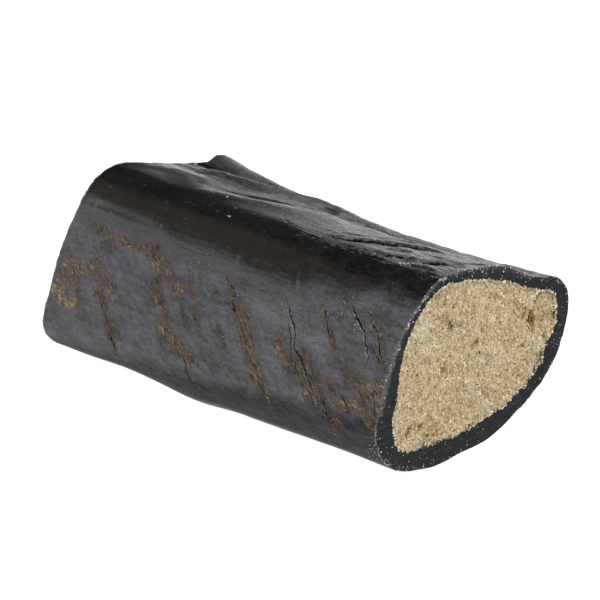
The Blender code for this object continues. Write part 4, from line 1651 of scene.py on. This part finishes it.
    def face_points(self, end: End, count: int, rng: np.random.Generator) -> Array:
        """Section places in uneven rows all over a face.

        Args:
            end: which face.
            count: about how many places the whole face gets.
            rng: moves each place a little.

        Returns:
            (n, 2) places inside the face's outline.
        """
        edge = self.edge(end)
        middle = edge.mean(axis=0)
        spokes = edge - middle
        angles, radii = np.arctan2(spokes[:, 1], spokes[:, 0]), np.hypot(spokes[:, 0], spokes[:, 1])
        order = np.argsort(angles)
        after = np.roll(edge, -1, axis=0)
        pitch = math.sqrt(0.5 * np.abs(np.sum(edge[:, 0] * after[:, 1] - edge[:, 1] * after[:, 0])) / count)
        low, high = edge.min(axis=0), edge.max(axis=0)
        lines = [np.arange(start, stop, pitch) for start, stop in zip(low, high)]
        grid = np.stack(np.meshgrid(*lines), axis=-1)
        grid[1::2, :, 0] += pitch / 2
        grid = grid.reshape(-1, 2)
        grid = grid + rng.uniform(-0.5, 0.5, grid.shape) * pitch
        away = grid - middle
        room = np.interp(np.arctan2(away[:, 1], away[:, 0]), angles[order], radii[order], period=2 * np.pi)
        return grid[np.hypot(away[:, 0], away[:, 1]) < room - 0.12]

    def crumbs(self, end: End, count: int, seed: int) -> Piece:
        """Loose crumbs lying all over one face and along its edge.

        Args:
            end: which face.
            count: about how many lie on the face.
            seed: picks the places and turns.

        Returns:
            The crumbs as one piece.
        """
        rng = np.random.default_rng(seed)
        inner = self.face_points(end, count, rng)
        edge = self.edge(end)
        rim = rng.integers(0, len(edge), self.edge_crumbs)
        outer = edge[rim] - outward(edge)[rim] * rng.uniform(-0.22, 0.5, (len(rim), 1))
        grid = np.concatenate([inner, outer])
        total = len(grid)
        y, z = grid.T
        on_rim = np.arange(total) >= len(inner)
        size = rng.uniform(*self.crumb_sizes, total)
        size = size * (1 + self.big_gain * (rng.random(total) < self.big_share))
        depth = np.where(on_rim, rng.uniform(0.0, 0.35, total), self.face_depth(y, z, end))
        x = np.minimum(FORM.half - depth + rng.uniform(-0.16, 0.16, total), FORM.half - 0.02)
        size = np.where(~on_rim & (self.hole_depth(y, z, end) > 0.6), self.hole_crumb_size, size)
        tint = self.middle_tint + self.tint_spread * rng.normal(size=total)
        tint = face_noise(y, z, 9.0 * end.value, self.tint_clumps, tint)
        # Crumbs that lie deeper get a darker tint: painted shade.
        tint = tint - self.recess_shade_tint * np.clip(depth - 0.4, -0.3, 0.4)
        odd = rng.random(total) < self.odd_share
        tint = np.where(odd, rng.uniform(*self.odd_tints, total), np.clip(tint, self.least_tint, 1))
        size = np.where(odd, self.odd_size, size)
        name = "near_crumbs" if end is End.NEAR else "far_crumbs"
        return scatter(name, in_frame(end.value * x, grid), size * MM, tint, rng)

    def all_crumbs(self) -> list[Piece]:
        """The loose crumbs of both faces."""
        listed = zip(End, self.face_crumbs, (1, 2))
        return [self.crumbs(end, count, seed) for end, count, seed in listed]

    def dress(self, body: Piece, crumbs: list[Piece]) -> None:
        """Gives the filling's pieces their finishes and places in the frame."""
        body.data.materials.clear()
        body.data.materials.append(PressedCrumb().dress())
        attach(body, "root")
        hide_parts("filling")
        loose = LooseCrumb().dress()
        for piece in crumbs:
            piece.data.materials.append(loose)
            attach(piece, "root")


@dataclass(frozen=True)
class CaughtCrumb:
    """Crumb that clings to the horn: on its rims, along their edges, and in places on its skin."""

    horn: Horn
    rim_parts: Triples = (
        (14.5, 17, 150), (17, 22, 120), (22, 24, 50), (24, 27.5, 190), (11.5, 14.5, 50),
    )
    flank_parts: Clusters = (
        (33.3, 38.9, 0.6, 3, 0.12), (37.1, 39, 0.5, 3, 0.13), (40, 39.9, 0.5, 3, 0.11),
        (36.4, 37, 0.9, 4, 0.1), (43.7, 37.9, 0.35, 5, 0.16), (41.1, 36.7, 0.5, 2, 0.1),
        (-25.1, 35.1, 0.6, 4, 0.12), (-24.4, 36.1, 0.6, 4, 0.12), (-22.2, 37.2, 0.8, 6, 0.1),
        (34, 20, 0.8, 4, 0.1), (36, 22, 3, 12, 0.08), (56.3, 28, 0.9, 6, 0.12),
        (56.6, 12, 1.2, 10, 0.13), (55.5, 9, 1.5, 10, 0.13), (-14, 12, 0.6, 2, 0.1),
        (51, 26, 3, 12, 0.09), (28, 24, 3, 10, 0.08), (8, 24, 6, 14, 0.07), (-40, 28, 7, 16, 0.07),
        (-24.5, 35.5, 1.6, 16, 0.1), (-12, 37, 2.5, 10, 0.09), (-22, 27, 2, 6, 0.08),
        (-11, 21, 2.5, 12, 0.1), (-45, 37, 2, 8, 0.09), (3, 35.5, 1.5, 8, 0.09), (36, 38, 3, 12, 0.1),
        (22, 36.5, 1, 8, 0.1), (40, 22, 4, 14, 0.09),
    )
    streaks: tuple[tuple[Points, int, float], ...] = (
        (((22.8, 15.8), (23.3, 14.6)), 7, 0.09),
        (((23.2, 13.3), (23.6, 12.2)), 6, 0.08),
        (((33.5, 19.8), (35.5, 17.1)), 9, 0.09),
        (((37.3, 20.1), (38.9, 18.5)), 8, 0.1),
        (((44.2, 12.2), (45, 10.9)), 7, 0.1),
        (((-44, 13.5), (-41, 13)), 9, 0.07),
    )
    top_parts: Clusters = (
        (-10.7, -15.9, 0.15, 3, 0.3), (-20.1, -6.7, 0.12, 2, 0.28), (-12.4, -12, 0.2, 2, 0.14),
        (44.6, -12.6, 0.5, 7, 0.24), (46, -11.8, 0.35, 4, 0.24), (52, -15, 1.2, 4, 0.12),
        (56, -10, 1.5, 12, 0.13), (56.5, -2, 2.5, 10, 0.12),
    )
    stray_count: int = 160
    stray_sizes: tuple[float, float] = (0.04, 0.09)
    rim_sizes: tuple[float, float] = (0.06, 0.18)
    big_share: float = 0.12
    big_gain: float = 0.6
    size_spread: tuple[float, float] = (0.6, 1.2)
    seed: int = 5

    def skin_points(self, x: Array, other: Array, on_top: bool) -> Array:
        """Places on the skin.

        Args:
            x: places along the horn in millimetres.
            other: breadths in the section frame for the top, or heights for the front flank.
            on_top: whether they lie on the top.

        Returns:
            Row-frame places in metres.
        """
        tube = self.horn.tube
        places = tube.places()
        low, high = (6, 11.6) if on_top else (11.2, 15)
        columns = np.flatnonzero((places > low) & (places < high))
        listed = self.horn.skin[tube.row_numbers(x / FORM.length + 0.5)][:, columns]
        across = listed[..., 1] / MM - SECTION_SHIFT if on_top else listed[..., 2] / MM
        best = np.argmin(np.abs(across - other[:, None]), axis=1)
        return listed[np.arange(len(x)), best]

    def on_rim(self, end: End, rng: np.random.Generator) -> Array:
        """Places on a rim, most of them near its outer edge and in small groups."""
        tube = self.horn.tube
        points = len(tube.span_columns)
        starts = np.concatenate([[0], np.cumsum(tube.span_columns)])
        columns, steps = [], []
        for low, high, number in self.rim_parts:
            knots = rng.uniform(low, high, number // 3 + 1)
            place = knots[rng.integers(0, len(knots), number)]
            place = (place + rng.normal(scale=0.05, size=number)) % points
            columns.append(np.interp(place, np.arange(points + 1), starts).astype(int) % tube.columns)
            reach = 3 + 5 * (np.sin(40 * place) > 0.2)
            steps.append(rng.random(number) ** 1.6 * reach * 0.92 + 0.5)
        return self.horn.rim_places(end, np.concatenate(columns), np.concatenate(steps))

    def build(self) -> Piece:
        """All caught crumbs as one piece."""
        rng = np.random.default_rng(self.seed)
        centres, sizes = [], []
        for end in End:
            centres.append(self.on_rim(end, rng))
            count = len(centres[-1])
            size = rng.uniform(*self.rim_sizes, count)
            sizes.append(size * (1 + self.big_gain * (rng.random(count) < self.big_share)))
        for parts, on_top in ((self.flank_parts, False), (self.top_parts, True)):
            for x, other, spread, count, size in parts:
                at = rng.normal(scale=spread, size=(count, 2)) + (x, other)
                centres.append(self.skin_points(at[:, 0], at[:, 1], on_top))
                sizes.append(size * rng.uniform(*self.size_spread, count))
        for ((x0, z0), (x1, z1)), count, size in self.streaks:
            share = np.sort(rng.random(count))
            centres.append(self.skin_points(x0 + share * (x1 - x0), z0 + share * (z1 - z0), False))
            sizes.append(size * rng.uniform(*self.size_spread, count))
        rows, columns = (rng.integers(0, count, self.stray_count) for count in self.horn.skin.shape[:2])
        centres.append(self.horn.skin[rows, columns])
        sizes.append(rng.uniform(*self.stray_sizes, self.stray_count))
        half_sizes = np.concatenate(sizes) * MM
        tints = rng.uniform(0.0, 1.0, len(half_sizes))
        return scatter("caught_crumbs", np.concatenate(centres), half_sizes, tints, rng)

    def dress(self, piece: Piece) -> None:
        """Gives the crumbs their finish and place in the frame."""
        piece.data.materials.append(CAUGHT_CRUMB.dress())
        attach(piece, "root")


def crumb_shapes(count: int, seed: int) -> list[tuple[Array, Array]]:
    """A few irregular crumbs of twenty faces each, modelled once.

    Args:
        count: how many different ones.
        seed: picks their shapes.

    Returns:
        Points and triangles of each, with a size of about 1.
    """
    shapes = []
    for number in range(count):
        start_clean()
        bpy.ops.mesh.primitive_ico_sphere_add(subdivisions=1, radius=1)
        piece = bpy.context.object
        bpy.ops.object.mode_set(mode="EDIT")
        bpy.ops.transform.vertex_random(offset=0.45, uniform=0.6, seed=seed + number)
        bpy.ops.object.mode_set(mode="OBJECT")
        corners = np.array([face.vertices[:] for face in piece.data.polygons])
        shapes.append((vertex_places(piece), corners))
        mesh = piece.data
        bpy.data.objects.remove(piece)
        bpy.data.meshes.remove(mesh)
    return shapes


def random_turns(count: int, rng: np.random.Generator) -> Array:
    """Random rotation matrices, (count, 3, 3)."""
    q = rng.normal(size=(count, 4))
    q /= np.linalg.norm(q, axis=1, keepdims=True)
    w, x, y, z = q.T
    rows = [
        [1 - 2 * (y * y + z * z), 2 * (x * y - z * w), 2 * (x * z + y * w)],
        [2 * (x * y + z * w), 1 - 2 * (x * x + z * z), 2 * (y * z - x * w)],
        [2 * (x * z - y * w), 2 * (y * z + x * w), 1 - 2 * (x * x + y * y)],
    ]
    return np.moveaxis(np.array(rows), 2, 0)


def scatter(name: str, centres: Array, sizes: Array, tints: Array, rng: np.random.Generator) -> Piece:
    """One piece made of many small crumbs.

    Args:
        name: the piece's name.
        centres: (n, 3) places in metres.
        sizes: their half sizes in metres.
        tints: the value that each crumb's finish reads.
        rng: gives the turns and proportions.

    Returns:
        The piece.
    """
    shapes = crumb_shapes(6, 3)
    turns = random_turns(len(centres), rng)
    squeeze = rng.uniform(0.5, 1.45, (len(centres), 3))
    kind = rng.integers(0, len(shapes), len(centres))
    points, corners, values = [], [], []
    start = 0
    for number, (shape, faces) in enumerate(shapes):
        chosen = np.flatnonzero(kind == number)
        local = shape[None] * squeeze[chosen][:, None] * sizes[chosen][:, None, None]
        placed = np.einsum("nij,nkj->nki", turns[chosen], local) + centres[chosen][:, None]
        offsets = start + np.arange(len(chosen))[:, None, None] * len(shape)
        points.append(placed.reshape(-1, 3))
        corners.append((faces[None] + offsets).reshape(-1, 3))
        values.append(np.repeat(tints[chosen], len(shape)))
        start += len(chosen) * len(shape)
    piece = mesh_piece(name, np.concatenate(points), np.concatenate(corners))
    add_attribute(piece, "tint", np.concatenate(values))
    return piece


@dataclass(frozen=True)
class Panel:
    """A soft rectangular light that faces the horn."""

    name: str
    direction: tuple[float, float, float]
    distance: float
    width: float
    height: float
    radiance: float
    colour: Colour = (1, 1, 1)

    def place(self, target: Vector) -> None:
        """Adds the light to the scene, facing the target."""
        light = bpy.data.lights.new(self.name, "AREA")
        light.shape = "RECTANGLE"
        light.size, light.size_y = self.width, self.height
        light.color = self.colour
        light.energy = math.pi * self.width * self.height * self.radiance
        lamp = bpy.data.objects.new(self.name, light)
        towards = Vector(self.direction).normalized()
        lamp.location = target + towards * self.distance
        lamp.rotation_euler = towards.to_track_quat("Z", "Y").to_euler()
        bpy.context.scene.collection.objects.link(lamp)


@dataclass(frozen=True)
class Studio:
    """The floor, the lights and the camera."""

    azimuth: float = 42
    elevation: float = 23
    distance: float = 0.8
    lens: float = 186.24
    target: tuple[float, float, float] = (0, -0.001813, 0.02383)
    floor_half: float = 4
    floor_colour: Colour = (0.3, 0.3, 0.3)
    floor_glow: float = 0.95
    floor_roughness: float = 0.9
    floor_specular: float = 0.1
    air: Colour = (0.03, 0.03, 0.03)
    sensor_width: float = 36
    panels: tuple[Panel, ...] = (
        Panel("front_left", (-0.62, -0.74, 0.16), 1.2, 1.3, 0.5, 1.45),
        Panel("front_high", (-0.62, -0.60, 0.45), 1.2, 1.3, 0.45, 2.5),
        Panel("rear_left", (-0.62, 0.77, 0.07), 1.6, 1.8, 0.6, 0.22),
        Panel("rear_near", (-0.33, 0.93, 0.17), 0.62, 0.3, 0.26, 2.9),
        Panel("right_key", (0.85, -0.35, 0.45), 1.1, 0.9, 0.9, 2.6),
        Panel("overhead", (0.45, 0.10, 0.9), 1.3, 1.0, 1.2, 3.7),
        Panel("ceiling", (-0.72, -0.25, 0.65), 1.3, 0.7, 0.5, 0.4, (1, 0.86, 0.70)),
    )

    def build(self) -> None:
        """Puts up the whole stage."""
        target = Vector(self.target)
        start_clean()
        bpy.ops.mesh.primitive_plane_add(size=2 * self.floor_half)
        floor = bpy.context.object
        floor.name = "floor"
        floor.data.materials.append(self.floor_finish())
        for panel in self.panels:
            panel.place(target)
        world = bpy.data.worlds.new("studio_air")
        world.use_nodes = True
        world.node_tree.nodes["Background"].inputs["Color"].default_value = (*self.air, 1)
        bpy.context.scene.world = world
        self.add_camera(target)
        bpy.context.scene.view_settings.view_transform = "Standard"

    def floor_finish(self) -> bpy.types.Material:
        """A plain pale floor."""
        material, _, shader = new_material("pale_floor")
        shader.inputs["Base Color"].default_value = (*self.floor_colour, 1)
        shader.inputs["Roughness"].default_value = self.floor_roughness
        shader.inputs["Specular IOR Level"].default_value = self.floor_specular
        shader.inputs["Emission Color"].default_value = (1, 1, 1, 1)
        shader.inputs["Emission Strength"].default_value = self.floor_glow
        return material

    def add_camera(self, target: Vector) -> None:
        """Adds the camera at the photograph's angle."""
        azimuth, elevation = math.radians(self.azimuth), math.radians(self.elevation)
        level = math.cos(elevation)
        back = Vector((math.sin(azimuth) * level, -math.cos(azimuth) * level, math.sin(elevation)))
        camera = bpy.data.objects.new("camera", bpy.data.cameras.new("camera"))
        camera.data.lens = self.lens
        camera.data.sensor_width = self.sensor_width
        camera.location = target + back * self.distance
        camera.rotation_euler = (-back).to_track_quat("-Z", "Y").to_euler()
        bpy.context.scene.collection.objects.link(camera)
        bpy.context.scene.camera = camera


def report(piece: Piece) -> None:
    """Logs a piece's name and how many triangles it has."""
    piece.data.calc_loop_triangles()
    LOG.info("%s: %d triangles", piece.name, len(piece.data.loop_triangles))


def main() -> None:
    """Builds the horn, its filling and the studio."""
    logging.basicConfig(level=logging.INFO, format="%(message)s")
    Studio().build()
    horn = Horn()
    skin = horn.build()
    horn.dress(skin, SharedEffects())
    filling = Filling(horn)
    body, crumbs = filling.build(), filling.all_crumbs()
    filling.dress(body, crumbs)
    caught = CaughtCrumb(horn)
    clinging = caught.build()
    caught.dress(clinging)
    for piece in (skin, body, *crumbs, clinging):
        report(piece)


if __name__ == "__main__":
    main()
